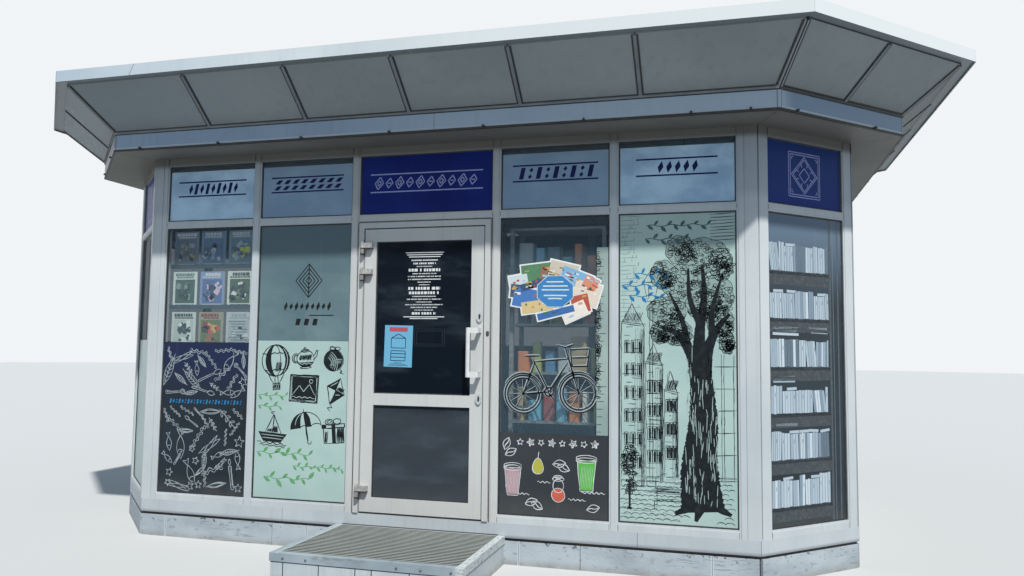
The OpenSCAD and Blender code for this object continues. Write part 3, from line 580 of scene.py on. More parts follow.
# %% Plinth paint
EARTH = "8B867A"
plinth_paint = Finish("plinth_paint", "ABB4BC", 0.6)
plinth_paint.ground(3.1, 6, "9DA7AF", "B6BFC6", 0.32, 0.68, (1, 1, 1.6))
crack = plinth_paint.times(plinth_paint.patches(1.0, 5, 0.58, 0.64, 1, (7, 7, 75)),
                           plinth_paint.patches(1.7, 3, 0.42, 0.62))
chips = plinth_paint.times(plinth_paint.patches(30, 5, 0.62, 0.65),
                           plinth_paint.ramp(plinth_paint.z, 0.09, 0.155))
plinth_paint.over("747C82", crack, 0.45)
plinth_paint.over("7C858B", plinth_paint.patches(1.0, 6, 0.6, 0.66, 0.55, (13, 13, 34)))
plinth_paint.over("5A6065", chips)
plinth_paint.over(EARTH, plinth_paint.dust(0.06, 0.0, 14, 6), 0.9)
for code, width in (("C3CBD0", 0.016), ("4E5459", 0.003)):
    butts = plinth_paint.near(plinth_paint.x, [-2.05, -0.86, 0.72, 1.98], width)
    plinth_paint.over(code, butts)
plinth_paint.over(JOINT_AND_SHADE, plinth_paint.mitres(0.004))
worn_off = plinth_paint.sum("ADD", crack, chips)
plinth_paint.relief(plinth_paint.sum("SUBTRACT", plinth_paint.noise(60, 3), worn_off), 0.0012)
plinth_paint.lay("plinth")

# %% [markdown]
# ### Step
# The angle iron rim is painted in the plinth's colour, worn to metal and rust where shoes pass,
# with a pale line along its edge. Its boards have the same paint in better state, and a thin band
# just under the rim is painted shade. The grating is dull zinc, pale on top of its bars, with
# painted shade a little below them.

# %% Step rim
step_rim = Finish("step_rim", "A0ADB6", 0.5)
worn = step_rim.times(step_rim.patches(11, 6, 0.55, 0.69, 1, (1, 1, 3)),
                      step_rim.ramp(step_rim.z, 0.16, 0.186, 0.25, 0.9))
step_rim.ground(3, 4, "88959E", "9FABB3")
step_rim.over("767672", worn)
step_rim.over("6E4B36", step_rim.patches(34, 6, 0.6, 0.68), worn)
bleached = step_rim.patches(60, 4, 0.62, 0.5)
step_rim.over("D3D8D7", step_rim.ramp(step_rim.x, 0.55, 0.6, 0, 0.7), bleached)
edge = step_rim.near(step_rim.size(step_rim.x), [0.578], 0.007)
step_rim.over("D2D6D4", step_rim.ramp(step_rim.z, 0.1855, 0.1865, 0, 0.7), edge)
step_rim.relief(step_rim.sum("SUBTRACT", step_rim.noise(80, 2), worn), 0.0006)
step_rim.lay("step_frame")

# %% Step boards and grating
step_paint = Finish("step_paint", "A8B2B8", 0.6)
step_paint.ground(2.3, 6, "AEB8BE", "C2CACE")
step_paint.over("818A90", step_paint.runs(34), 0.25)
step_paint.over(EARTH, step_paint.dust(0.07, 0.0, 16, 6))
gaps = step_paint.near(step_paint.size(step_paint.x), [0.0525, 0.2925, 0.5325], 0.007)
# A thin dark band just under the rim is painted shade; the board gaps are real.
shade_under_rim = step_paint.ramp(step_paint.z, 0.1295, 0.1305)
step_paint.over("2E353B", step_paint.sum("MAXIMUM", gaps, shade_under_rim), 0.85)
step_paint.relief(step_paint.noise(50, 4), 0.0008)
step_paint.lay("step_boards")

grating = Finish("grating_zinc", "9AA19E", 0.6, Metallic=0.2)
grating.ground(5, 3, "A6ACA8", "B9BEBA", 0.35, 0.65)
grating.over("7A746A", grating.patches(7, 5, 0.55, 0.75, 0.35))
# Dark a little below the bar tops: painted shade between the bars.
grating.over("3B4240", grating.ramp(grating.z, 0.1853, 0.1836))
grating.over("D3D8D3", grating.ramp(grating.z, 0.1858, 0.1866, 0, 0.8))
grating.lay("step_grating")

# %% [markdown]
# ### Eaves
# The band, the skirt's panels, its ribs and the coping are sheet metal of four greys. Panels
# have faint streaks that run down the slope, the band has mitre joints at the corners and one
# butt joint in its length, and the coping is the palest, with one slanting seam. Sheet never
# lies quite flat, which a slow and shallow relief shows. Light and shade are painted on them too:
# paler towards the right, darker towards the left end, under the coping and on faces turned to
# the right end, and darker on the soffit near the walls.

# %% Eaves band
band_paint = Finish("band_paint", "8C9DB0", 0.38)
band_paint.ground(1.1, 4, "889FB9", "98AEC5")
band_paint.over("66727E", band_paint.runs(20), 0.2)
# Paler towards the right and darker at the left cut corner: painted light and shade. The right end
# is bluer.
for code, start, end, most in (("BECDD8", -2.0, 2.0, 0.6), ("718CA8", 2.4, 2.5, 0.85),
                               ("6C757D", -2.385, -2.41, 0.9)):
    band_paint.over(code, band_paint.ramp(band_paint.x, start, end, 0, most))
band_paint.over("B4C0CC", band_paint.ramp(band_paint.z, 2.931, 2.928))
joints = band_paint.sum("SUBTRACT", band_paint.mitres(0.034), band_paint.mitres(0.026))
butts = band_paint.near(band_paint.x, [0.18, -2.9], 0.003)
band_paint.over("39424C", band_paint.sum("MAXIMUM", joints, butts))
band_paint.relief(band_paint.noise(3, 2), 0.003)
band_paint.lay("eaves_band")

# %% Panels and ribs of the skirt
flare_sheet = Finish("flare_sheet", "98A09E", 0.55)
flare_sheet.ground(0.8, 5, "8F9899", "A0A8A9")
flare_sheet.over("747A78", flare_sheet.runs(16), 0.18)
# Bluer towards the left, and much darker on the faces turned to the right end: painted shade.
flare_sheet.over("838F97", flare_sheet.ramp(flare_sheet.x, -0.4, -2.0, 0, 0.6))
flare_sheet.over("31393D", flare_sheet.faces("X", 0.5, 0.6), 0.85)
pale_runs = flare_sheet.times(flare_sheet.runs(45, 0.52, 0.62),
                              flare_sheet.ramp(flare_sheet.x, -2.84, -2.9, 0, 0.5))
flare_sheet.over("C9D1D1", pale_runs, flare_sheet.faces("Y", -0.3, -0.4))
flare_sheet.over("6D706B", flare_sheet.dust(3.13, 3.047, 12), 0.6)
flare_sheet.relief(flare_sheet.noise(2.2, 2), 0.004)
flare_sheet.lay("flare_panels")

rib_metal = Finish("rib_metal", "7E868A", 0.45, Metallic=0.2)
rib_metal.ground(8, 5, "6B7479", "7C858A")
rib_metal.over("8B8F90", rib_metal.patches(40, 4, 0.58, 0.7, 0.4))
rib_metal.over("8B9396", rib_metal.mitres(0.05))
# Darker at the left end and on the sides turned to the right end: painted shade.
rib_metal.over("3C4448", rib_metal.ramp(rib_metal.x, -2.6, -2.7, 0, 0.75))
rib_metal.over("343B3F", rib_metal.faces("X", 0.5, 0.6))
rib_metal.over("272D31", rib_metal.mitres(0.01))
rib_metal.lay("flare_ribs_front", "flare_ribs_back", "flare_ribs_ends", "flare_ribs_corners")

# %% Coping
coping_sheet = Finish("coping_sheet", "C9D3DA", 0.42)
coping_sheet.ground(1.4, 5, "C3CDD3", "D2DADE")
# Bluer and darker towards the left end: painted shade.
coping_sheet.over("A3B6C9", coping_sheet.ramp(coping_sheet.x, -0.5, -3.6, 0, 0.75))
coping_sheet.over("9AA2A6", coping_sheet.runs(18), 0.1)
slanting = coping_sheet.sum("MULTIPLY_ADD", coping_sheet.z, -0.5, coping_sheet.x)
seam = coping_sheet.near(slanting, [-3.61], 0.006)
coping_sheet.over("8A949B", seam)
coping_sheet.over("4C555B", coping_sheet.mitres(0.006))
# Paler towards the right: painted light. The underside and the lip's inner faces are dark: painted
# shade.
coping_sheet.over("E2E7E7", coping_sheet.ramp(coping_sheet.x, -1.0, 1.6, 0, 0.8))
coping_sheet.over("3F464B", coping_sheet.ramp(coping_sheet.z, 3.3245, 3.3235))
coping_sheet.over("858F93", coping_sheet.ramp(coping_sheet.overhang(), 0.7195, 0.7185),
                  coping_sheet.ramp(coping_sheet.z, 3.332, 3.331))
coping_sheet.relief(coping_sheet.sum("SUBTRACT", coping_sheet.noise(2.6, 2), seam), 0.002)
coping_sheet.lay("coping")

# %% Soffit
soffit_sheet = Finish("soffit_sheet", "7E7B75", 0.6)
soffit_sheet.ground(0.9, 5, "6D6B66", "7E7B75")
soffit_sheet.over("5F5D57", soffit_sheet.patches(7, 6, 0.55, 0.8, 0.5))
# Darker towards the wall: painted shade under the eaves.
soffit_sheet.over("504E4C", soffit_sheet.ramp(soffit_sheet.overhang(), 0.2, 0.0, 0, 0.5))
soffit_sheet.over("6A6E5E", soffit_sheet.ramp(soffit_sheet.x, -2.0, -2.6, 0, 0.6))
soffit_sheet.over("3C3B37", soffit_sheet.mitres(0.006))
soffit_sheet.relief(soffit_sheet.noise(3, 2), 0.003)
soffit_sheet.lay("soffit")

# %% [markdown]
# ### Plain finishes
# The rest are plain materials in two close tones: rubber, primed steel, coated racks, paper,
# board and the lock covers' metal. They differ only in numbers, so one function makes them all.
# Grain is a cloud squeezed across the board.

# %% Rubber, steel, boards, paper
def plain(name, colour, rough, cloud, lay_on=(), relief=None, **fixed):
    """Two-toned finish: a cloudy ground, and a relief of noise (scale, detail, depth)."""
    made = Finish(name, colour, rough, **fixed)
    made.ground(*cloud)
    if relief:
        *pattern, depth = relief
        made.relief(made.noise(*pattern), depth)
    made.lay(*lay_on)
    return made.coat()


GRAIN = (1, 14, 14)
plain("rubber", "17191B", 0.55, (20, 5, "141618", "2B2D2F", 0.4, 0.7), ["edge_strip"],
      (300, 2, 0.0003))
gasket_and_shade = plain("gasket_rubber_and_shade", "1C1F22", 0.5, (30, 4, "181B1E", "303336", 0.4, 0.7))
steel = plain("primed_steel", "3A3D40", 0.6, (9, 6, "36393C", "4E4843", 0.45, 0.7),
              ["base_frame"], (70, 3, 0.0008), Metallic=0.3)
bolt_steel = plain("bolt_steel", "5F676D", 0.5, (90, 4, "4A5157", "747B80", 0.4, 0.65),
                   Metallic=0.3)
lock_metal = plain("lock_metal", "C4C9CD", 0.3, (60, 3, "B4BABF", "D0D4D7"), ["door_locks"],
                   Metallic=0.5)
plain("rack_coat", "9AA3A8", 0.45, (12, 4, "3B4951", "4A5860"), ["magazine_rack"])
plain("magazine_paper", "CFD6C9", 0.35, (20, 3, "C6CDC0", "D8DED2"), ["magazines"])
plain("shelf_board", "8A8478", 0.5, (4, 6, "757B79", "8E9593", 0.35, 0.65, (1, 10, 10)),
      ["display_shelf"])
plain("roof_timber", "A48F70", 0.75, (5, 6, "8F7A5C", "B39E7E", 0.35, 0.65, GRAIN),
      ["roof_curb"], (5, 6, GRAIN, 0.0008))

# %% [markdown]
# ### Roof, floor and ceiling
# These three are laid in strips: roofing felt with lapped seams, floor boards, and ceiling
# panels with a thin joint. Little of the inside shows, and only through dark glass.

# %% Surfaces laid in strips
membrane = Finish("roof_membrane", "7D8488", 0.85)
membrane.ground(0.9, 7, "71787C", "8D9396")
membrane.over("5B6064", membrane.near(membrane.x, [-2.0, -1.0, 0.0, 1.0, 2.0], 0.02))
membrane.over("5F5E55", membrane.patches(3, 6, 0.55, 0.75, 0.6))
membrane.relief(membrane.noise(120, 3), 0.001)
membrane.lay("roof_deck")

floor_boards = Finish("floor_boards", "7E7A72", 0.55)
floor_boards.ground(3, 6, "716D65", "8B867D", 0.35, 0.65, (1, 9, 1))
board_joints = np.arange(-1.8, 1.9, 0.3).round(2).tolist()
floor_boards.over("3B3935", floor_boards.near(floor_boards.y, board_joints, 0.004))
floor_boards.lay("floor")

ceiling_board = Finish("ceiling_board", "C9C9C5", 0.8)
ceiling_board.ground(2, 4, "C2C2BE", "D0D0CC")
panel_joints = np.arange(-1.8, 1.9, 0.6).round(2).tolist()
ceiling_board.over("8F8F8B", ceiling_board.near(ceiling_board.x, panel_joints, 0.008))
ceiling_board.lay("ceiling")

# %% [markdown]
# ### Glass
# The panes are tinted and partly see-through. Real glass could be refracted, but behind a dark
# pane that only adds noise: a mix of clear and dark keeps the room behind it dim but readable,
# and the pane's gloss shows the studio. Dust gathers at its foot.

# %% Glass
def glass(name, colour, see_through, *lay_on, low=None, gloss=0.3):
    """Tinted pane: a coat over see-through, with faint pale streaks of painted reflection, dust at
    the foot, and another colour towards the foot if one is named."""
    pane = Finish(name, colour, 0.04, Specular_IOR_Level=gloss)
    if low:
        pane.over(low, pane.ramp(pane.z, 1.075, 0.95))
    # Faint pale streaks: painted reflection.
    pane.over("7C8D9A", pane.patches(2.2, 5, 0.45, 0.75, 0.16, (1, 1, 3.0)))
    dust = pane.dust(0.55, 0.3, 7)
    pane.over("8D8B82", dust, 0.2)
    cover = pane.sum("MULTIPLY_ADD", dust, 0.15, 1 - see_through)
    pane.feed(pane.shader.inputs["Alpha"], cover)
    pane.lay(*lay_on)


glass("window_glass", "6C8799", 0.84, "front_lower_glass", "front_upper_glass",
      "corner_lower_glass")
glass("side_glass", "22343B", 0.35, "back_glass", "end_glass")
glass("door_pane", "0E1823", 0.12, "door_panes", low="3E454D", gloss=0.05)

# %% [markdown]
# ### Sign panels and door fittings
# The sign panels are glossy navy, and painted sky light makes them lighter on the cut corners.
# The handle is coated pale, with painted shade along one flank of its grip. Hinge brackets are
# worn bare metal, with painted shade in a dark band at the foot of each bracket and a dark ring
# at each barrel's end.

# %% Navy panels, handle and hinges
navy = Finish("navy_panel", "0E1B68", 0.35, Specular_IOR_Level=0.1)
navy.ground(1.8, 4, "0C1E68", "172C7E", 0.35, 0.7)
# Lighter on the cut corners: painted sky light.
navy.over("224080", navy.ramp(navy.size(navy.x), 2.2, 2.3, 0, 0.8))
navy.over("1E2E84", navy.dust(2.52, 2.4, 9))
navy.lay("corner_sign_panels", "door_sign_panel")

handle_coat = Finish("handle_coat", "DDE0E2", 0.3)
handle_coat.ground(14, 4, "D2D5D7", "E2E4E4", 0.35)
# A dark flank on the grip's faces turned to +X: painted shade.
along_grip = handle_coat.near(handle_coat.z, [1.4155], 0.27)
handle_coat.over("30363A", handle_coat.faces("X", 0.8, 0.96), along_grip)
handle_coat.lay("door_handle")

HINGES = (2.1955, 2.0055, 0.4665)
hinge_metal = Finish("hinge_metal", "B9BDC1", 0.4, Metallic=0.35)
hinge_metal.ground(30, 4, "9A9B9A", "BEBDBA")
hinge_metal.over("6A6560", hinge_metal.patches(45, 5, 0.62, 0.7, 0.6))
# A dark band at the foot of each bracket: painted shade.
shaded_bracket_feet = [z - 0.0425 for z in HINGES]
hinge_metal.over("2E2C2B", hinge_metal.near(hinge_metal.z, shaded_bracket_feet, 0.011))
hinge_metal.lay("hinge_brackets")

knuckle = Finish("hinge_knuckle", "8B8F92", 0.45, Metallic=0.35)
knuckle.ground(50, 4, "7C7B79", "A5A39F", 0.35)
# A dark ring at each barrel's end: painted shade.
shaded_barrel_ends = [z - 0.084 for z in HINGES]
knuckle.over("2E2D2C", knuckle.near(knuckle.z, shaded_barrel_ends, 0.012))
knuckle.lay("hinge_knuckles")

# %% [markdown]
# ### Films and print
# Films are thin plastic with a soft gloss: one finish per film, and one that takes its colour
# from the piece's "tone" attribute, so that a piece with a hundred colours needs one material.
# Ink for drawn lines is nearly matt.

# %% Film and print finishes
def film(name, colour, darker, alpha=1.0, cloud=1.4, coat=0.15, high=None, inner=None):
    """Plastic film: slow cloudiness between two colours, a third towards the top if one is named
    with its two heights, another in the inner bays, faint creases, and a thin clear coat."""
    made = Finish(name, colour, 0.35, Coat_Weight=coat, Coat_Roughness=0.15,
                  Specular_IOR_Level=0.2, Alpha=alpha)
    made.ground(cloud, 5, darker, colour, 0.35, 0.65, (1, 1, 1.5))
    if high:
        low_z, high_z, code = high
        made.over(code, made.ramp(made.z, low_z, high_z))
    if inner:
        made.over(inner, made.ramp(made.size(made.x), 1.38, 1.33, 0, 0.8))
    creases = made.patches(1.0, 4, 0.62, 0.75, 1.0, (18, 18, 0.7))
    made.over("FFFFFF", creases, 0.05 * ink(colour)[1] ** 0.5)
    made.over("8D8B82", made.dust(0.5, 0.32, 8), 0.2)
    made.relief(made.noise(6, 3), 0.0006)
    return made.coat()


mint = film("mint_film", "B2CAC5", "A6C0BC")
mint_strip = film("mint_strip_film", "A3B7B2", "8DA29F")
slate = film("slate_film", "222D37", "1B252D", coat=0.05, high=(0.95, 1.4, "1A2547"))
# The grey-green film darkens towards the top: painted shade of the skirt.
grey_green = film("grey_green_film", "708990", "5E7880", alpha=0.9, cloud=2.2,
                  high=(1.75, 2.3, "5D747D"))
# Near-white tone and clouds partly painted sky reflection; inner bays darker, with less of it.
light_blue = film("light_blue_film", "C0E2FA", "92B6D6", cloud=2.6, coat=0.6, inner="6C8CAA")
board_black = film("board_film", "3B3F44", "33373C", coat=0.05)

printer = Finish("printed", "FFFFFF", 0.42, Coat_Weight=0.08, Coat_Roughness=0.15)
printer.tone = printer.add("ShaderNodeAttribute", attribute_name="tone").outputs["Color"]
printer.over("9A9A96", printer.patches(40, 4, 0.4, 0.75, 0.12))
printed = printer.coat()


def drawn(name, colour, fade):
    """Ink of drawn lines, a little uneven along the stroke."""
    made = Finish(name, colour, 0.5, Specular_IOR_Level=0.15)
    made.over(fade, made.patches(24, 3, 0.45, 0.75, 0.6))
    return made.coat()


black_ink = drawn("black_ink", "161C1F", "2E383B")
chalk_ink = drawn("chalk_ink", "A9B5BA", "6C7B83")
white_ink = drawn("white_ink", "DDE2E2", "B9BFC0")
mint_ink = drawn("mint_ink", "A9BFBB", "8FA8A5")
navy_ink = drawn("navy_ink", "0B1650", "172562")
lilac_ink = drawn("lilac_ink", "A9ADDD", "8388C2")
green_ink = drawn("green_ink", "5F9C68", "7FAE88")
blue_ink = drawn("blue_ink", "2679AF", "4691C0")
teal_ink = drawn("grey_ink", "4D6468", "687E82")
print("films and inks", len(bpy.data.materials), "materials in all")

# %% [markdown]
# ## Rubber lips and joints
# Every pane sits behind a thin dark rubber lip, which draws the black line round each film in
# the photograph. The lip is a small wedge carried round the opening. Hairline joints show where
# rails butt against uprights: dark strips thinner than a millimetre do, since nobody sees their
# depth.

# %% Rubber lips round the panes
LIP = [(-0.0005, GLASS + 0.007), (0.006, GLASS + 0.006), (0.010, GLASS)]
lights = {k: [(a, b, Z_GLASS, Z_TRANSOM) for a, b in window_bays(k)]
          + [(a, b, Z_UPPER, Z_HEAD) for a, b in bays_of(k)] for k in range(8)}
piece("glazing_lips", join(*[lips(k, lights[k], LIP) for k in range(8)]), gasket_and_shade)
door_lights = [(-0.3615, 0.3615, 0.3865, 1.0345), (-0.3615, 0.3615, 1.1165, 2.2035)]
DOOR_LIP = [(-0.0005, DOOR_GLASS + 0.006), (0.004, DOOR_GLASS + 0.005), (0.008, DOOR_GLASS)]
piece("door_lips", lips(0, door_lights, DOOR_LIP), gasket_and_shade, "door")

# %% Hairline joints of the frame and seams of the sill
SUNK, LIP_ROOM = -0.0005, 0.0125
HAIRLINE, SEAM = 0.0009, 0.0012
joints = []
for k in range(8):
    spans = []
    for a, b in bays_of(k):
        for z0, z1 in ((Z_FRAME, Z_GLASS), (Z_TRANSOM, Z_UPPER), (Z_HEAD, Z_WALL)):
            if z0 == Z_FRAME and (a, b) not in window_bays(k):
                continue
            low = z0 if z0 == Z_FRAME else z0 + LIP_ROOM
            high = z1 if z1 == Z_WALL else z1 - LIP_ROOM
            spans += [(s - HAIRLINE, s + HAIRLINE, low, high, SUNK, 0.0002) for s in (a, b)]
    joints.append(blocks(k, spans))
for k, places in ((0, (-1.06, 1.511)), (2, (0.4,)), (4, (-0.9, 0.9)), (6, (-0.3,))):
    joints.append(blocks(k, [(s - SEAM, s + SEAM, Z_SILL, Z_FRAME, SUNK, 0.0003)
                             for s in places]))
round_door = [(-0.5105, -0.5065, Z_FRAME, Z_TRANSOM), (0.5065, 0.5105, Z_FRAME, Z_TRANSOM),
              (-DOOR_SIDE, DOOR_SIDE, Z_TRANSOM - 0.0005, Z_TRANSOM + 0.0035)]
joints.append(blocks(0, [(*span, SUNK, 0.0015) for span in round_door]
                     + [(-0.4565, 0.4565, 0.2725, 0.2785, SUNK, 0.001)]))
piece("frame_joints", join(*joints), gasket_and_shade)

# %% [markdown]
# ## Seals of the skirt
# Each panel of the skirt lies in dark sealant along its ribs, the mitres and the rail below, and
# a dark strip under the rail's lip is painted shade. A seal has four straight edges, so it is
# worked out from its two ends on the sloping face: a share t of the way up gives the place along
# the wall, the height and the overhang at once.

# %% Sealing strips of the skirt
FOOT, TOP = (0.312, 3.047), (0.645, 3.320)
SEAL_FROM, SEAL_TO, SEAL_WIDTH, SEAL_HEIGHT = 0.3195, 0.641, 0.011, 0.004
slope = np.array([TOP[0] - FOOT[0], TOP[1] - FOOT[1]])
slope /= np.linalg.norm(slope)
facing = np.array([slope[1], -slope[0]])


def slope_strip(k, s_foot, s_top):
    """Strip up the skirt's face, from s_foot at the panel's foot to s_top at its top. Its four
    edges run up the slope, and it stands out along the face's normal."""
    e = np.array([SEAL_FROM, SEAL_TO])
    t = (e - FOOT[0]) / (TOP[0] - FOOT[0])
    z = FOOT[1] + t * (TOP[1] - FOOT[1])
    mid = s_foot + t * (s_top - s_foot)
    side = SEAL_WIDTH / 2
    s = np.stack([mid - side, mid + side, mid + side, mid - side])
    lift = np.array([0, 0, SEAL_HEIGHT, SEAL_HEIGHT])[:, None]
    p = on_wall(k, s, z + lift * facing[1], e + lift * facing[0])
    quads = [[0, 2, 4, 6], [1, 7, 5, 3]] + [
        [2 * i, 2 * i + 1, 2 * ((i + 1) % 4) + 1, 2 * ((i + 1) % 4)] for i in range(4)]
    return p.reshape(-1, 3), quads


BESIDE_RIB = 0.0158
RIBS = {0: (-1.57, -0.785, 0.0, 0.785, 1.57), 1: (0.0,), 2: (-0.729, 0.0, 0.729)}
strips = []
for k in range(8):
    ribs = RIBS[1 if k % 2 else k % 4]
    for s in ribs:
        strips += [slope_strip(k, s + d, s + d) for d in (-BESIDE_RIB, BESIDE_RIB)]
    for side in (-1, 1):
        foot, top = (side * (lengths[k] / 2 + T * e - 0.022) for e in (FOOT[0], TOP[0]))
        strips.append(slope_strip(k, foot, top))
    run = lengths[k] / 2 + T * SEAL_FROM - 0.03
    strips.append(blocks(k, [(-run, run, 3.0465, 3.0535, 0.309, 0.3235)]))
    # A thin dark strip on the band under the rail's lip: painted shade.
    run = lengths[k] / 2 + T * 0.3112
    strips.append(blocks(k, [(-run, run, 3.0255, 3.0322, 0.3095, 0.3112)]))
piece("skirt_seals_and_shade_line", join(*strips), gasket_and_shade)

# %% [markdown]
# ## Films on the front
# Each film is a sheet half a millimetre thick on the outer face of its pane. From the left: slate
# with chalk drawings below the magazines, mint with drawings below a grey film, a clear pane with
# a dark board, and a mint film over the whole of the last one. The upper lights have a pale blue
# film that stops short of the top, so a dark strip of bare glass stays.

# %% Lay the films
FILM = GLASS + 0.0005
FILM_FOOT, FILM_HEAD, MINT_HEAD = 0.326, 2.349, 1.484


def sheet_on(k, name, spans, finish):
    """Films on the glass of wall k, each s0, s1, z0, z1."""
    shape = blocks(k, [(*span, GLASS, FILM) for span in spans])
    return piece(name, shape, finish)


def inside_bays(k, z0, z1):
    """Spans that leave a millimetre of each window bay bare at its sides."""
    return [(a + 0.001, b - 0.001, z0, z1) for a, b in window_bays(k)]


for name, s0, s1, z0, z1, finish in (
        ("slate", -2.146, -1.388, FILM_FOOT, 1.468, slate),
        ("mint_left", -1.326, -0.568, FILM_FOOT, MINT_HEAD, mint),
        ("grey", -1.326, -0.568, MINT_HEAD, FILM_HEAD, grey_green),
        ("mint_strip", 1.24, 1.326, 0.878, 2.13, mint_strip),
        ("board", 0.568, 1.326, FILM_FOOT, 0.876, board_black),
        ("mint_right", 1.388, 2.146, FILM_FOOT, FILM_HEAD, mint)):
    sheet_on(0, f"film_{name}", [(s0, s1, z0, z1)], finish)
for k in (0, 2, 4, 6):
    sheet_on(k, f"film_upper_{k}", inside_bays(k, Z_UPPER + 0.001, 2.796), light_blue)
for k in (2, 4, 6):
    sheet_on(k, f"film_lower_{k}", inside_bays(k, FILM_FOOT, MINT_HEAD), mint)

# %% [markdown]
# ## Plain ornaments
# The signs carry plain ornaments: two ruled lines with leaning lozenges, bars or leaves between
# them, a chain over the door, and a diamond in a double frame on the cut corners. A figure is
# drawn once, one unit high, and then set along its row. Leaning is a shift by the height.

# %% Ruled lines and leaning figures
def leaf(length, width, count=9):
    """Outline of a leaf from (0, 0) to (length, 0): half a sine to each side."""
    x = np.linspace(0, 1, count)
    side = width / 2 * np.sin(np.pi * x)
    back = slice(-2, 0, -1)
    return np.concatenate([np.column_stack([x * length, -side]),
                           np.column_stack([x[back] * length, side[back]])])


def closed(outline):
    return np.vstack([outline, outline[:1]])


LEAN = 0.22


def leaning(figures, count, s0, s1, z0, z1):
    """Filled figures between two heights at even steps. Height moves them to the right."""
    pitch, high = (s1 - s0) / count, z1 - z0
    return [np.column_stack([s0 + (i + 0.5 + u[:, 0]) * pitch + u[:, 1] * high * LEAN,
                             z0 + u[:, 1] * high])
            for i in range(count) for u in figures[i % len(figures)]]


LOZENGE = path(0, 0, 0.34, 0.5, 0, 1, -0.34, 0.5)
BAR = path(-0.26, 0, 0.26, 0, 0.26, 1, -0.26, 1)
LEAVES = [path(-0.42, 0.05, 0.1, 0.02, 0.42, 0.42, -0.1, 0.4),
          path(-0.42, 0.6, 0.1, 0.56, 0.42, 0.98, -0.1, 0.95)]
SMALL = [LOZENGE * (0.7, 0.42), LOZENGE * (0.7, 0.42) + (0, 0.56)]
ROWS = [([[LOZENGE], [BAR]], 9, 0.225, 0.3), ([LEAVES], 8, 0.285, 0.3),
        ([[BAR], SMALL], 9, 0.27, 0.3), ([[LOZENGE]], 5, 0.14, 0.265)]
signs = []
for k in (0, 2, 4, 6):
    for i, (a, b) in enumerate(window_bays(k)):
        figures, count, half, rule = ROWS[i % 4]
        c = (a + b) / 2
        ruled = [path(c - rule, z, c + rule, z) for z in (2.602, 2.712)]
        row = leaning(figures, count, c - half, c + half, 2.616, 2.698)
        signs += [bands(k, ruled, 0.011, FILM + 0.0002, taper=0),
                  plates(k, row, FILM, FILM + 0.0003)]
piece("upper_ornaments", join(*signs), navy_ink)

# %% Chain over the door and diamonds on the cut corners
def diamond(s, z, r):
    """Closed outline with its four corners at distance r."""
    return path(s - r, z, s, z - r, s + r, z, s, z + r, s - r, z)


LINKS = ([diamond(0.5, 0.5, 0.5), diamond(0.5, 0.5, 0.22)],
         [diamond(0.5, 0.5, 0.4), path(0.3, 0.5, 0.7, 0.5)])
chain = [np.column_stack([-0.405 + i * 0.08 + u[:, 0] * 0.066 + u[:, 1] * 0.02,
                          2.59 + u[:, 1] * 0.09]) for i in range(10) for u in LINKS[i % 2]]
door_rules = [path(-0.43, z, 0.43, z) for z in (2.57, 2.70)]
piece("door_ornament", join(bands(0, door_rules, 0.009, GLASS + 0.0003, taper=0),
                            bands(0, chain, 0.008, GLASS + 0.0003, taper=0)),
      lilac_ink)

EIGHTHS = np.radians(np.arange(22.5, 360, 45))
z = 2.6225
badge = [rectangle(-r, z - r, r, z + r) for r in (0.15, 0.135)]
badge += [path(0, z - r, r, z, 0, z + r, -r, z, 0, z - r) for r in (0.125, 0.108, 0.05)]
badge += [np.outer(np.linspace(0.058, 0.09, 4), (math.cos(a), math.sin(a))) + (0, z)
          for a in EIGHTHS]
badge += [path(0.12 * x, z + 0.12 * y, 0.1 * x, z + 0.12 * y, 0.12 * x, z + 0.12 * y, 0.12 * x,
               z + 0.1 * y) for x, y in ((-1, -1), (1, -1), (1, 1), (-1, 1))]
piece("corner_badges", join(*[bands(k, badge, 0.0065, GLASS + 0.0003, taper=0)
                              for k in (1, 3, 5, 7)]), lilac_ink)

# %% [markdown]
# ## Chalk drawings on slate
# The slate film is covered with thin white outlines of long small things at every angle, above
# and below a plain blue strip. Unit drawings are turned and tried at random places, and one stays
# where it keeps clear of those before it.

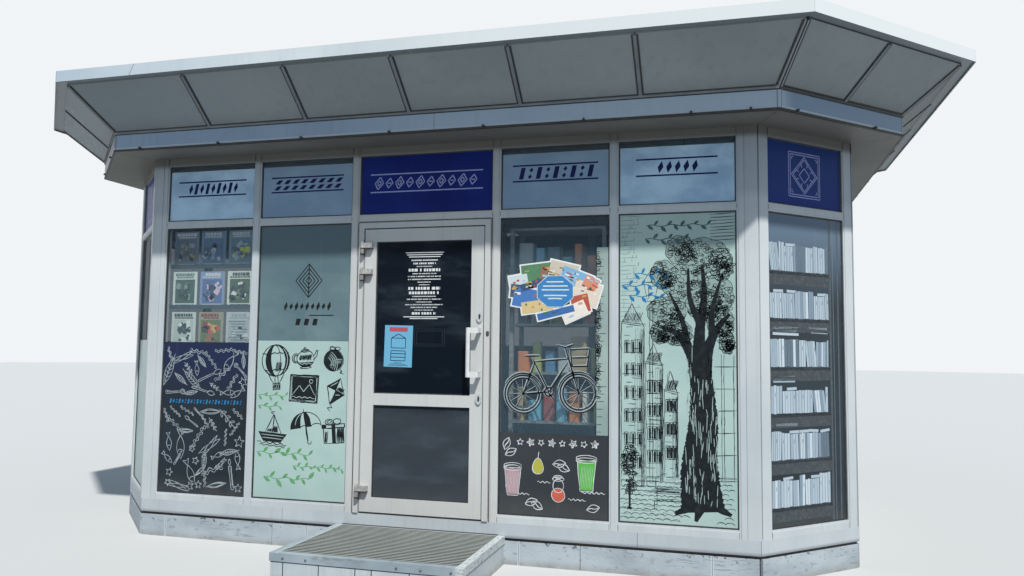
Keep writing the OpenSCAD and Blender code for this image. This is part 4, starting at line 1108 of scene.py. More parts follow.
# %% Chalk drawings
pod, slim = closed(leaf(1, 0.26) - (0.5, 0)), closed(leaf(0.8, 0.13) - (0.4, 0))
corner = np.arange(11)
radius, turn = np.where(corner % 2, 0.2, 0.5), corner * np.pi / 5 + 0.3
STAR = np.column_stack([radius * np.cos(turn), radius * np.sin(turn)])
DOODLES = [
    # Leaf with its veins, and a pod
    [pod, path(-0.5, 0, 0.62, 0)] + [path(x, 0, x + 0.1, 0.09 * f)
                                     for x in np.arange(-0.35, 0.3, 0.13) for f in (-1, 1)],
    [pod * (1, 0.8), slim],
    # Brush, ribbon, twig and beads
    [closed(leaf(0.34, 0.17) - (0.5, 0)),
     path(-0.16, 0.025, 0.5, 0.035, 0.53, 0, 0.5, -0.035, -0.16, -0.025)],
    [wave(-0.5, 0.5, y, 0.06, 3, 30) for y in (-0.05, 0.05)],
    [wave(-0.5, 0.5, 0, 0.03, 1, 20)] + [line for x in (-0.35, -0.1, 0.15) for f in (-40, 40)
                                         for line in place([closed(leaf(0.2, 0.08))], x, 0, 1, f)],
    [arc(x, 0.03 * (-1) ** i, 0.055) for i, x in enumerate(np.linspace(-0.45, 0.45, 8))],
    # Key, fish and candle
    [arc(-0.38, 0, 0.11), arc(-0.38, 0, 0.05),
     path(-0.27, 0.03, 0.5, 0.03, 0.5, -0.11, 0.42, -0.11, 0.42, -0.03, 0.34, -0.03,
          0.34, -0.08, 0.27, -0.08, 0.27, -0.03, -0.27, -0.03)],
    [closed(leaf(0.78, 0.3) - (0.5, 0)), path(0.24, 0, 0.5, 0.14, 0.44, 0, 0.5, -0.14, 0.24, 0),
     arc(-0.36, 0.03, 0.02), arc(-0.3, 0, 0.12, start=-60, end=60)],
    [path(-0.5, -0.05, 0.28, -0.05, 0.28, 0.05, -0.5, 0.05, -0.5, -0.05),
     path(-0.4, -0.02, 0.2, -0.02), closed(leaf(0.2, 0.09) + (0.31, 0))],
    # Star, and two crossed leaves
    [STAR * 0.5],
    [slim * 1.2, slim * (1.2, -1) @ np.array([[0.94, 0.34], [-0.34, 0.94]])],
]
S_LOW, S_HIGH, Z_LOW, Z_HIGH = -2.135, -1.4, 0.34, 1.458
STRIP_FOOT, STRIP_HEAD = 0.985, 1.05
TRIES, CLEAR = 3600, 0.275
taken, chalk = [], []
for _ in range(TRIES):
    size, s, z = hand.uniform(0.11, 0.25), hand.uniform(-2.11, -1.42), hand.uniform(0.34, 1.46)
    if any(math.hypot(s - a, z - b) < CLEAR * (size + c) for a, b, c in taken):
        continue
    lines = place(DOODLES[hand.integers(len(DOODLES))], s, z, size, hand.uniform(0, 360))
    low, high = np.concatenate(lines).min(0), np.concatenate(lines).max(0)
    inside = low[0] > S_LOW and high[0] < S_HIGH and low[1] > Z_LOW and high[1] < Z_HIGH
    if inside and (low[1] >= STRIP_HEAD or high[1] <= STRIP_FOOT):
        taken.append((s, z, size))
        chalk += lines
print(len(taken), "doodles found a place")
piece("chalk_drawings", join(bands(0, chalk, 0.0042, FILM + 0.0002, wobble=0.0009),
                             bands(0, chalk, 0.002, FILM + 0.0003, wobble=0.002)),
      chalk_ink)
piece("blue_strip", plates(0, leaning([[BAR], [LOZENGE], SMALL], 24, -2.08, -1.44, 1.0, 1.034),
                           FILM, FILM + 0.0003), blue_ink)

# %% [markdown]
# ## Ink drawings on mint
# Eight household things in a loose arrangement, as a marker pen would draw them. Each is a list
# of lines, of filled outlines and of pale lines on the filled ones, all in a unit square.

# %% Things in ink
def shade_lines(x0, x1, z0, z1, count, lean=0.05):
    """Hatching: upright strokes at even steps, leaning a little."""
    return [path(x, z0, x + lean, z1) for x in np.linspace(x0, x1, count)]


def between(rx_out, rx_in, rz, z, start, end):
    """Outline between two halves of ellipses of one height."""
    return np.concatenate([arc(0, z, rx_out, rz, start, end, 16),
                           arc(0, z, rx_in, rz, end, start, 16)])


GIFT = ([rectangle(-0.42, -0.45, 0.42, 0.12), rectangle(-0.48, 0.12, 0.48, 0.26),
         arc(-0.16, 0.36, 0.17, 0.1), arc(0.16, 0.36, 0.17, 0.1), arc(-0.16, 0.36, 0.1, 0.05)]
        + shade_lines(0.12, 0.38, -0.42, 0.1, 9) + shade_lines(-0.4, -0.3, -0.42, 0.0, 4),
        [path(-0.08, -0.45, 0.08, -0.45, 0.08, 0.26, -0.08, 0.26),
         path(-0.47, 0.12, -0.3, 0.12, -0.3, 0.25, -0.47, 0.25)],
        [])
AIRSHIP = ([arc(0, 0.14, rx, 0.34) for rx in (0.34, 0.24, 0.12)]
           + [path(-0.2, -0.14, -0.07, -0.36), path(0.2, -0.14, 0.07, -0.36),
              path(-0.03, -0.2, -0.03, -0.36), path(0.04, -0.2, 0.04, -0.36),
              rectangle(-0.09, -0.49, 0.09, -0.36), wave(-0.3, 0.3, -0.06, 0.015, 5),
              wave(-0.33, 0.33, 0.3, 0.012, 5)]
           + shade_lines(-0.07, 0.07, -0.48, -0.37, 7, 0.01)
           + shade_lines(-0.02, 0.1, -0.1, 0.1, 6),
           [between(0.34, 0.24, 0.34, 0.14, -90, 90),
            between(0.12, 0.24, 0.34, 0.14, 90, 270)[::-1]],
           [arc(0, 0.14, 0.29, 0.34, -50, 50)])
YARN = ([arc(0, 0, 0.41), path(0.3, -0.28, 0.42, -0.36, 0.34, -0.44, 0.5, -0.46),
         arc(-0.1, 0.44, 0.13, 0.07), arc(0.1, 0.47, 0.12, 0.06)],
        [arc(0, 0, 0.39, start=0, end=350)],
        [arc(-0.35, -0.2, r, start=-20, end=70) for r in (0.3, 0.38, 0.46, 0.54)]
        + [arc(0.3, -0.35, r, start=85, end=165) for r in (0.3, 0.37, 0.44)])
PICTURE = ([rectangle(-r, -r * 0.86, r, r * 0.86) for r in (0.5, 0.47, 0.42)]
           + [path(-0.5, -0.43, -0.42, -0.36), path(0.5, -0.43, 0.42, -0.36),
              path(-0.5, 0.43, -0.42, 0.36), path(0.5, 0.43, 0.42, 0.36)],
           [rectangle(-0.41, -0.35, 0.41, 0.35)[:4]],
           [path(-0.4, -0.22, -0.16, 0.1, 0.0, -0.1, 0.2, 0.14, 0.4, -0.2),
            arc(0.24, 0.24, 0.06), wave(-0.4, 0.4, -0.28, 0.02, 4)])
KITE = ([path(0, 0.5, 0.3, 0.12, 0, -0.32, -0.3, 0.12, 0, 0.5), path(0, 0.5, 0, -0.32),
         path(-0.3, 0.12, 0.3, 0.12),
         curve([(0, -0.32), (0.1, -0.38), (-0.02, -0.44), (0.1, -0.5)])]
        + shade_lines(0.04, 0.2, 0.14, 0.26, 7),
        [path(0, 0.5, -0.3, 0.12, 0, 0.12), path(0, 0.12, 0, -0.32, 0.3, 0.12)],
        [path(-0.2, 0.16, -0.03, 0.38), path(0.04, 0.0, 0.18, 0.06)])
TEAPOT = ([arc(0, -0.08, 0.34, 0.29), arc(0, 0.2, 0.16, 0.05), arc(0, 0.28, 0.04),
           path(0.28, -0.02, 0.38, 0.06, 0.44, 0.2, 0.5, 0.2),
           path(0.3, -0.14, 0.42, -0.02, 0.49, 0.19), arc(-0.37, -0.05, 0.15, 0.16, 60, 300),
           arc(-0.36, -0.05, 0.1, 0.11, 60, 300), arc(0, -0.38, 0.22, 0.03)]
          + shade_lines(-0.24, 0.2, -0.12, 0.06, 14),
          [arc(0, -0.08, 0.33, 0.28, 205, 335, 20)],
          [wave(-0.24, 0.24, -0.25, 0.02, 3)])
BOAT = ([path(-0.26, -0.1, 0, 0.46, 0.3, -0.1), path(0, 0.46, 0, -0.1),
         path(0, 0.46, -0.12, 0.52, 0, 0.55), wave(-0.5, 0.5, -0.42, 0.03, 4),
         wave(-0.42, 0.46, -0.49, 0.02, 4)]
        + shade_lines(0.03, 0.16, -0.08, 0.1, 7, -0.02)
        + shade_lines(-0.2, -0.04, -0.08, 0.02, 6),
        [path(-0.5, -0.1, -0.3, -0.38, 0.3, -0.38, 0.5, -0.1)],
        [path(-0.4, -0.18, 0.4, -0.18), path(-0.34, -0.27, 0.34, -0.27)])
UMBRELLA = ([arc(0, 0, 0.48, 0.42, 0, 180), arc(0, 0, 0.17, 0.42, 0, 180),
             arc(-0.325, 0, 0.155, 0.06, 0, 180), arc(0, 0, 0.17, 0.06, 0, 180),
             arc(0.325, 0, 0.155, 0.06, 0, 180), path(0, 0.5, 0, -0.4),
             path(0.02, 0.04, 0.02, -0.4), arc(0.06, -0.4, 0.06, 0.08, 180, 360)],
            [between(0.48, 0.17, 0.42, 0, 90, 180), between(0.17, 0.0, 0.42, 0, 0, 90)],
            [arc(0, 0, 0.33, 0.4, 100, 165)])

# %% Place the things
SETTING = [(AIRSHIP, -1.16, 1.29, 0.34, 4), (TEAPOT, -0.92, 1.37, 0.21, 4),
           (YARN, -0.69, 1.345, 0.19, -8), (PICTURE, -0.925, 1.135, 0.23, -2),
           (KITE, -0.68, 1.1, 0.25, -24), (BOAT, -1.17, 0.83, 0.24, -4),
           (UMBRELLA, -0.9, 0.855, 0.26, 10), (GIFT, -0.675, 0.835, 0.19, 5)]
lines, fills, pales = ([made for *thing, s, z, size, turn in SETTING
                        for made in place(thing[0][i], s, z, size, turn)] for i in range(3))
piece("ink_fills", plates(0, fills, FILM, FILM + 0.0002), black_ink)
piece("ink_lines", join(bands(0, lines, 0.0062, FILM + 0.0003, wobble=0.0012),
                        bands(0, lines, 0.0035, FILM + 0.0004, wobble=0.003)),
      black_ink)
piece("ink_highlights", bands(0, pales, 0.0055, FILM + 0.0005, wobble=0.001), mint_ink)

# %% [markdown]
# ## Vines
# Between the things run green vines. A stem is a level wave, and its leaves stand to both sides
# by turns with a seeded size and lean. The leaves are plates in three layers, since neighbours
# overlap.

# %% Vines and a ruled diamond
def vine(s0, s1, z, size, turns, rise=0.14):
    """Stem and leaves: a level wave, and leaves along it to both sides by turns."""
    stem = wave(s0, s1, z, size * rise, turns, int(turns * 16))
    steps = np.linspace(0.02, 0.98, int(turns * 3.4))
    outlines = []
    for i, t in enumerate(steps):
        s, h = s0 + t * (s1 - s0), z + size * rise * math.sin(2 * np.pi * turns * t)
        outlines += place([leaf(1, 0.42)], s, h, size * hand.uniform(0.9, 1.3),
                          (46 if i % 2 else -46) + hand.normal(0, 9))
    return stem, outlines


def vines(name, finish, rows, out):
    made = [vine(*row) for row in rows]
    stems = bands(0, [stem for stem, _ in made], 0.0055, out + 0.0002, taper=0.3)
    layers = [plates(0, [o for _, outlines in made for o in outlines[i::3]], out,
                     out + 0.0002 + 0.00004 * i) for i in range(3)]
    return piece(name, join(stems, *layers), finish)


vines("green_vines", green_ink,
      [(-1.3, -1.07, 1.08, 0.036, 2), (-1.3, -1.12, 1.0, 0.036, 1.5), (-1.3, -0.86, 0.66, 0.052, 3),
       (-1.0, -0.6, 0.57, 0.034, 4), (-1.24, -0.86, 0.48, 0.058, 2.5)], FILM)

s, z = -0.91, 1.93
lattice = [path(s + a, z, s, z + a * 1.15, s - a, z, s, z - a * 1.15, s + a, z)
           for a in (0.024, 0.052, 0.08, 0.108)]
lattice += [path(s, z - 0.125, s, z + 0.125), path(-0.9, 1.673, -0.7, 1.673)]
marks = leaning([[LOZENGE], [LOZENGE * (1, 0.7) + (0, 0.15)]], 9, -1.125, -0.725, 1.705, 1.775)
marks += leaning([[BAR]], 3, -1.03, -0.82, 1.6, 1.648)
piece("grey_ornament", join(bands(0, lattice, 0.0075, FILM + 0.0002, taper=0),
                            plates(0, marks, FILM, FILM + 0.0003)), black_ink)

# %% [markdown]
# ## A street in ink
# The last film has a large drawing that fills the pane: an old tree with a dark, scratched trunk
# and a scribbled crown in front of a street. Limbs are ribbons that taper. The crown is grey
# patches with a bulging edge, under loops strewn over each of them.

# %% The tree
def scribble(s, z, rx, rz, count, size):
    """Loops strewn over an ellipse: places from the root of an even random number and an angle."""
    r, a = np.sqrt(hand.uniform(0, 1, count)), hand.uniform(0, 2 * np.pi, count)
    return [arc(s + rx * p * np.cos(q), z + rz * p * np.sin(q), size * hand.uniform(0.6, 1.4),
                size * hand.uniform(0.4, 1.0), hand.uniform(0, 360), hand.uniform(400, 640), 14)
            for p, q in zip(r, a)]


LIMBS = [([(1.925, 0.42), (1.905, 0.7), (1.93, 1.0), (1.915, 1.34)], 0.275, 0.125),
         ([(1.9, 0.58), (1.85, 0.46), (1.75, 0.40)], 0.12, 0.02),
         ([(1.97, 0.58), (2.02, 0.46), (2.1, 0.41)], 0.11, 0.02),
         ([(1.93, 0.5), (1.9, 0.42), (1.88, 0.36)], 0.1, 0.02),
         ([(1.9, 1.26), (1.86, 1.42), (1.77, 1.55), (1.66, 1.6)], 0.11, 0.02),
         ([(1.93, 1.26), (1.96, 1.45), (2.03, 1.6), (2.1, 1.68)], 0.11, 0.02),
         ([(1.91, 1.28), (1.91, 1.55), (1.94, 1.8), (1.93, 2.0)], 0.1, 0.015),
         ([(1.84, 1.46), (1.8, 1.64), (1.72, 1.82)], 0.05, 0.012),
         ([(1.99, 1.52), (1.99, 1.7), (2.05, 1.92)], 0.05, 0.012),
         ([(1.92, 1.6), (1.85, 1.78), (1.84, 1.98)], 0.05, 0.012)]
CROWN = [(1.70, 1.70, 0.12, 0.09), (1.82, 1.88, 0.14, 0.12), (2.02, 1.8, 0.1, 0.13),
         (1.93, 2.06, 0.16, 0.11), (1.68, 1.94, 0.08, 0.09), (2.05, 2.0, 0.07, 0.1),
         (1.79, 2.1, 0.09, 0.09), (1.93, 1.75, 0.1, 0.1), (1.77, 1.56, 0.09, 0.08),
         (2.04, 1.63, 0.08, 0.09), (1.66, 1.56, 0.06, 0.07), (2.08, 1.5, 0.045, 0.07)]
clumps = []
t = np.linspace(0, 2 * np.pi, 40, endpoint=False)
for s, z, rx, rz in CROWN:
    bulge = 1 + 0.1 * np.abs(np.sin(4 * t + s * 9))
    clumps.append(np.column_stack([s + rx * bulge * np.cos(t), z + rz * bulge * np.sin(t)]))
layers = [plates(0, [c], FILM, FILM + 0.0001 + 0.00003 * i) for i, c in enumerate(clumps)]
piece("crown_patches", join(*layers), printed,
      tones=[ink("8CA5A0")] * (len(t) + 2) * len(clumps))
piece("tree_limbs", limbs(0, LIMBS, FILM + 0.0006), black_ink)
scratches = [path(x, z, x + hand.normal(0, 0.006), z + hand.uniform(0.03, 0.13))
             for x, z in zip(hand.uniform(1.82, 2.02, 120), hand.uniform(0.45, 1.4, 120))]
piece("trunk_scratches", bands(0, scratches, 0.0038, FILM + 0.0008), mint_ink)

leaves_drawn = [closed(c) for c in clumps]
for s, z, rx, rz in CROWN:
    leaves_drawn += scribble(s, z, rx, rz, 55, 0.016)
    leaves_drawn += scribble(s + rx * 0.3, z - rz * 0.4, rx * 0.65, rz * 0.6, 45, 0.012)
piece("crown_loops", bands(0, leaves_drawn, 0.0034, FILM + 0.0009, step=0.006), black_ink)

# %% [markdown]
# ## House fronts and paving
# Behind the tree stand three narrow house fronts with hatched roofs and rows of windows, on
# paving of half rounds. Dark lines, plain lines and faint courses of brick are kept apart, since
# each kind gets its own width.

# %% Houses and street
street, dark = [], []
WINDOWS = (0.24, 0.52, 0.8)
HOUSES = [(1.405, 0.15, 1.62, 0.56), (1.565, 0.11, 1.36, 0.6), (1.685, 0.085, 1.18, 0.63)]
for x, w, h, foot in HOUSES:
    street += [path(x, foot, x, h, x + w * 0.45, h + 0.13, x + w, h - 0.02, x + w, foot),
               path(x, h, x + w, h - 0.02), path(x - 0.008, h + 0.01, x + w + 0.01, h - 0.01)]
    panes = [(x + u * w, z) for z in np.arange(foot + 0.12, h - 0.1, 0.15) for u in WINDOWS]
    dark += [path(s, z, s, z + 0.07) for s, z in panes]
    street += [rectangle(s - 0.014, z - 0.006, s + 0.014, z + 0.078) for s, z in panes]
    street += shade_lines(x + 0.01, x + w * 0.8, h + 0.005, h + 0.07, 12, 0.02)
    street += shade_lines(x + w * 0.86, x + w - 0.004, foot, h - 0.04, 3, 0.0)
    street += [path(x + hand.uniform(0, 0.9) * w, z, x + hand.uniform(0.2, 1.0) * w, z)
               for z in np.arange(foot, h, 0.028)]
for row, z in enumerate(np.arange(0.35, 0.6, 0.03)):
    w = 0.056 - 0.003 * row
    street += [arc(x + (row % 2) * w / 2, z, w / 2, w / 4, 0, 180, 8)
               for x in np.arange(1.42, 2.1, w) if not 1.8 < x < 2.03]
street += [path(2.0, z, 2.135, z + 0.004) for z in (0.62, 0.635, 0.78, 0.92, 1.06, 1.2, 1.34)]
street += [path(x, 0.62, x, 1.42) for x in (2.045, 2.06, 2.12)]
street += [path(1.98, z, 2.135, z + 0.006) for z in np.linspace(2.16, 2.33, 9)]
faint = [path(1.4, z, 1.4 + hand.uniform(0.04, 0.15), z + 0.003)
         for z in np.linspace(1.64, 2.33, 26)]
for x, w, h, foot in HOUSES:
    faint += shade_lines(x + w * 0.6, x + w * 0.97, foot, h - 0.03, 5, 0.0)
faint += [path(x, z, x + hand.uniform(0.02, 0.09), z + 0.002)
          for x, z in zip(hand.uniform(1.4, 1.76, 50), hand.uniform(0.34, 0.66, 50))]
faint += [path(x, z, x, z + 0.026) for z in np.linspace(1.64, 2.3, 25)
          for x in 1.41 + hand.uniform(0, 0.11, 2)]
print(len(street), "plain lines,", len(dark), "dark ones,", len(faint), "faint ones")

# %% [markdown]
# ## Lamp and bench
# A lamp post and a bench stand on the paving, and a shrub is scribbled at the edge. Every outline
# of the street is drawn twice with a wobble, as in a sketch.

# %% Lamp, bench and the street's pieces
LAMP = [path(-0.012, -1, -0.012, 0.5), path(0.012, -1, 0.012, 0.5),
        rectangle(-0.035, -1.02, 0.035, -0.94),
        path(-0.03, 0.52, -0.06, 0.68, 0.06, 0.68, 0.03, 0.52, -0.03, 0.52),
        path(-0.07, 0.68, 0, 0.78, 0.07, 0.68, -0.07, 0.68), arc(0, 0.45, 0.03, 0.012),
        path(-0.02, 0.54, -0.02, 0.66)]
street += place(LAMP, 1.60, 1.36, 0.78)
BENCH = [path(-0.5, z, 0.5, z) for z in (0.12, 0.16, 0.2, 0.24, 0.28)]
BENCH += [path(-0.52, z, 0.52, z) for z in (-0.06, -0.12)]
BENCH += [path(s, z, s, -0.4) for s, z in ((-0.42, 0.34), (0.42, 0.34))]
BENCH += [path(s, -0.4, s, -0.12) for s in (-0.5, 0.5)]
street += place(BENCH, 1.72, 0.5, 0.2)
street += scribble(1.46, 0.72, 0.05, 0.11, 90, 0.014) + scribble(1.46, 0.56, 0.04, 0.05, 40, 0.01)
dark += [path(1.46, 0.42, 1.46, 0.6), path(1.445, 0.42, 1.475, 0.42)]
piece("street_lines", join(bands(0, street, 0.0034, FILM + 0.0002, wobble=0.001),
                           bands(0, street, 0.0022, FILM + 0.0003, wobble=0.0028),
                           bands(0, dark, 0.0135, FILM + 0.0004, taper=0.1)),
      black_ink)
piece("faint_courses", bands(0, faint, 0.0024, FILM + 0.0002, wobble=0.0015), teal_ink)
vines("grey_vines", teal_ink, [(1.57, 1.97, 2.265, 0.042, 3), (1.56, 1.82, 2.175, 0.042, 2)],
      FILM + 0.0012)
vines("blue_vines", blue_ink, [(1.49, 1.68, 1.945, 0.042, 1.5), (1.405, 1.67, 1.87, 0.044, 2.2),
                               (1.455, 1.66, 1.8, 0.042, 1.8)], FILM + 0.0004)

# %% [markdown]
# ## The clear pane
# A bicycle is drawn straight on the glass in black with a pale edge. The edge is the same drawing
# once more, wider, a few millimetres aside and further in.

# %% Bicycle
BIKE = [arc(x, -0.18, r) for x in (-0.3, 0.3) for r in (0.2, 0.17)] + [
    path(-0.3, -0.18, -0.16, 0.16), path(-0.16, 0.16, 0.2, 0.18),
    path(0.3, -0.18, 0.17, 0.3, 0.08, 0.33), path(0.17, 0.3, 0.26, 0.33),
    path(-0.19, 0.2, -0.02, -0.16), path(-0.02, -0.16, 0.19, 0.14),
    path(-0.3, -0.18, -0.02, -0.16), path(-0.28, 0.22, -0.1, 0.22), arc(-0.02, -0.16, 0.045),
    path(0.22, 0.28, 0.24, 0.1, 0.4, 0.1, 0.43, 0.28, 0.22, 0.28), path(0.23, 0.19, 0.415, 0.19),
    path(-0.03, -0.16, 0.03, -0.24), arc(-0.3, -0.18, 0.22, start=20, end=150),
    arc(0.3, -0.18, 0.22, start=60, end=170)]
SPOKES = [path(x, -0.18, x + 0.17 * math.cos(a), -0.18 + 0.17 * math.sin(a))
          for x in (-0.3, 0.3) for a in np.arange(0, 6.2, 0.52)]
BIKE_SIZE, BIKE_TURN = 0.64, 2


def on_pane(lines, s, z, width, out):
    return bands(0, place(lines, s, z, BIKE_SIZE, BIKE_TURN), width, GLASS + out)


piece("bicycle_ink", join(on_pane(BIKE, 0.9255, 1.259, 0.0105, 0.0004),
                          on_pane(SPOKES, 0.9255, 1.259, 0.0045, 0.0004)),
      black_ink)
piece("bicycle_light", join(on_pane(BIKE, 0.923, 1.262, 0.018, 0.0002),
                            on_pane(SPOKES, 0.924, 1.261, 0.007, 0.0002)),
      chalk_ink)

# %% [markdown]
# ## A large sticker
# Above the bicycle is a sticker of tilted patches of colour. Each lies on a slightly larger white
# one, so that a white rim runs round the whole. The patches are plates that read their colour
# from the attribute, and small flecks on them give the busy look of a printed collage.

# %% Sticker
def patch(s, z, w, h, turn):
    """Corners of a rectangle round (s, z), turned, counter-clockwise."""
    corners = path(-w / 2, -h / 2, w / 2, -h / 2, w / 2, h / 2, -w / 2, h / 2)
    return place([corners], s, z, 1.0, turn)[0]


def colours(codes):
    """One colour for each face of the plates: a plate has as many faces as corners, plus two."""
    return [ink(code) for code, count in codes for _ in range(count + 2)]


STICKER = [(0.83, 1.95, 0.22, 0.15, 6, "4C7F5A"), (0.90, 1.96, 0.1, 0.1, -8, "8A6A4E"),
           (1.01, 1.965, 0.2, 0.13, -14, "CFC3B2"), (1.10, 1.92, 0.22, 0.11, -22, "7FB2D8"),
           (0.70, 1.90, 0.13, 0.1, 10, "CDD8DC"), (0.69, 1.84, 0.1, 0.09, -6, "2E4A6E"),
           (0.76, 1.79, 0.2, 0.13, -10, "3E74B8"), (0.83, 1.735, 0.22, 0.08, 8, "D8C08A"),
           (1.17, 1.82, 0.18, 0.15, -16, "E3D6C6"), (1.13, 1.75, 0.12, 0.12, 12, "B4503F"),
           (1.09, 1.70, 0.17, 0.1, 24, "F0E6DC"), (1.2, 1.89, 0.1, 0.08, -28, "D98C72"),
           (0.79, 1.88, 0.16, 0.05, 16, "2E4A6E"), (0.96, 1.69, 0.26, 0.045, 14, "2F66A8")]
RIM = 0.02
whites = [plates(0, [patch(s, z, w + RIM, h + RIM, a)], GLASS, GLASS + 0.0005 + 0.00005 * i)
          for i, (s, z, w, h, a, _) in enumerate(STICKER)]
fields = [plates(0, [patch(s, z, w, h, a)], GLASS + 0.0013, GLASS + 0.0015 + 0.00005 * i)
          for i, (s, z, w, h, a, _) in enumerate(STICKER)]
FLECKS = ("F2EEE6", "2B3E55", "C9A25A", "B4503F", "9FC3DE", "3C6B48")
flecks, fleck_tones = [], []
for _ in range(64):
    s, z, w, h, a, _ = STICKER[hand.integers(len(STICKER))]
    u, v = hand.uniform(-0.38, 0.38, 2) * (w, h)
    turn = math.radians(a)
    flecks.append(patch(s + u * math.cos(turn) - v * math.sin(turn),
                        z + u * math.sin(turn) + v * math.cos(turn),
                        hand.uniform(0.008, 0.045), hand.uniform(0.006, 0.016), a))
    fleck_tones.append(FLECKS[hand.integers(len(FLECKS))])
HUB = 0.955
hub = np.column_stack([HUB + 0.135 * np.cos(EIGHTHS), 1.835 + 0.115 * np.sin(EIGHTHS)])
piece("sticker_base", join(*whites), printed,
      tones=colours([("E9EDED", 4)] * len(whites)))
patch_tones = [(c, 4) for *_, c in STICKER] + [(c, 4) for c in fleck_tones] + [("2F7FBE", 8)]
piece("sticker_patches", join(*fields, plates(0, flecks, GLASS + 0.0022, GLASS + 0.0024),
                              plates(0, [hub], GLASS + 0.0024, GLASS + 0.0028)),
      printed, tones=colours(patch_tones))
rules = [path(HUB - w, z, HUB + w, z) for w, z in (
    (0.06, 1.9), (0.085, 1.872), (0.095, 1.845), (0.08, 1.808), (0.05, 1.785))]
piece("sticker_rules", join(bands(0, rules, 0.0085, GLASS + 0.003, taper=0, wobble=0.001),
                            bands(0, [closed(hub)], 0.004, GLASS + 0.003, taper=0)),
      white_ink)

# %% [markdown]
# ## The dark board
# Below the bicycle hangs a dark film with coloured fruit and beakers, and chalk lines round
# them. Each shape is used twice, filled as a plate and a little larger as a chalk outline.

# %% Board with fruit
t = np.linspace(0, 2 * np.pi, 28, endpoint=False)
pear = np.column_stack([(0.052 + 0.016 * np.sin(-t)) * np.cos(t), 0.075 * np.sin(t)])
beaker = path(-0.034, -0.09, 0.034, -0.09, 0.05, 0.07, -0.05, 0.07)
FRUIT = [(beaker * 1.05, 0.67, 0.56, "B3919A"), (pear * 0.66, 0.845, 0.66, "B4B040"),
         (beaker * 1.15, 1.175, 0.62, "56B045"),
         (arc(0, 0, 0.042, 0.042, 0, 350, 26), 0.985, 0.475, "C85A45")]
piece("board_colours", join(*[plates(0, [f + (s, z)], FILM, FILM + 0.0003)
                              for f, s, z, _ in FRUIT]), printed,
      tones=colours([(c, len(f)) for f, _, _, c in FRUIT]))
board_lines = [closed(f) * 1.08 + (s, z) for f, s, z, _ in FRUIT]
board_lines += [arc(x, z + d, r, 0.018) for x, z, r in ((0.67, 0.64, 0.062), (1.175, 0.71, 0.07))
                for d in (0, 0.016)]
board_lines += [path(0.845, 0.712, 0.85, 0.755), arc(0.985, 0.535, 0.036, 0.045),
                arc(0.985, 0.58, 0.04, 0.014), arc(0.985, 0.595, 0.03, 0.01)]
SPRIG = [closed(leaf(0.09, 0.05) - (0.045, 0)), wave(-0.04, 0.04, 0, 0.006, 1, 20)]
for s, z, a in ((0.655, 0.745, 30), (0.99, 0.68, 10), (0.8, 0.42, 20), (1.22, 0.4, 15),
                (0.625, 0.8, 70), (1.02, 0.655, -20), (0.84, 0.4, -30)):
    board_lines += place(SPRIG, s, z, 1.0, a)
for i in range(8):
    star = [STAR, STAR * 0.4] if i % 2 else [STAR * 0.8]
    board_lines += place(star, 0.72 + 0.073 * i, 0.815, 0.06, 20 * i)
board_lines += [wave(0.7, 0.79, 0.47, 0.006, 3, 30), wave(0.84, 0.93, 0.555, 0.006, 3, 30),
                wave(1.05, 1.17, 0.45, 0.006, 4, 30), wave(1.14, 1.3, 0.5, 0.006, 5, 40)]
hatching = [line for s, z in ((0.67, 0.555), (1.175, 0.61))
            for line in shade_lines(s - 0.045, s + 0.03, z - 0.08, z + 0.06, 8, 0.012)]
piece("board_chalk", join(bands(0, board_lines, 0.0045, FILM + 0.0005, wobble=0.0008),
                          bands(0, board_lines, 0.002, FILM + 0.0006, wobble=0.002),
                          bands(0, hatching, 0.0016, FILM + 0.0005, wobble=0.001)),
      white_ink)
edge_marks = scribble(1.25, 1.6, 0.012, 0.5, 120, 0.012)
edge_marks += [path(1.24, z, 1.24 + hand.uniform(0.02, 0.07), z) for z in np.arange(0.9, 2.1, 0.05)]
piece("strip_marks", bands(0, edge_marks, 0.004, FILM + 0.0002, wobble=0.001), black_ink)

# %% [markdown]
# ## A printed bookcase on the cut corner
# The pane of the right cut corner carries a print of a dark bookcase with pale books, seeded in
# width, height and grey, and a bare dark margin at its right. It is one sheet and plates on it.

# %% Bookcase print
BOARD_STRIPS = ((-0.045, 0.09, "2E3940"), (-0.012, 0.022, "414D56"), (-0.003, 0.005, "77848D"))
BOOK_GREYS = ("B7C5D1", "ABBBC8", "9AACBA", "C6D3DD", "7C90A1", "5A6D7C")


def bookcase(s0, s1, shelves):
    """Rows of books: widths add up along a shelf, and a run of books shares its height and grey.
    Lying books fill some of the room above a run."""
    outlines, tones = [], []
    for z, top in shelves:
        for dz, high, code in BOARD_STRIPS:
            outlines.append(patch((s0 + s1) / 2, z + dz, s1 - s0 + 0.02, high, 0))
            tones.append(code)
        s = s0
        while s < s1 - 0.02:
            count, grey = hand.integers(2, 7), hand.choice(6, p=[0.3, 0.27, 0.2, 0.1, 0.08, 0.05])
            w, h = hand.uniform(0.014, 0.027), (top - z) * hand.uniform(0.76, 0.96)
            lean = hand.normal(0, 0.7) if hand.uniform() < 0.85 else hand.uniform(3, 9)
            for _ in range(min(count, int((s1 - s) / w))):
                outlines.append(patch(s + w / 2, z + h / 2, w * 0.93,
                                      h * hand.uniform(0.96, 1.02), lean))
                tones.append(BOOK_GREYS[min(5, max(0, grey + hand.integers(-1, 2)))])
                s += w
            s += 0.003
            if h < (top - z) * 0.84 and hand.uniform() < 0.5:
                outlines.append(patch(s - w * 1.6, z + h + 0.012, 0.09, 0.018, hand.normal(0, 2)))
                tones.append("ABBBC8")
    return outlines, tones


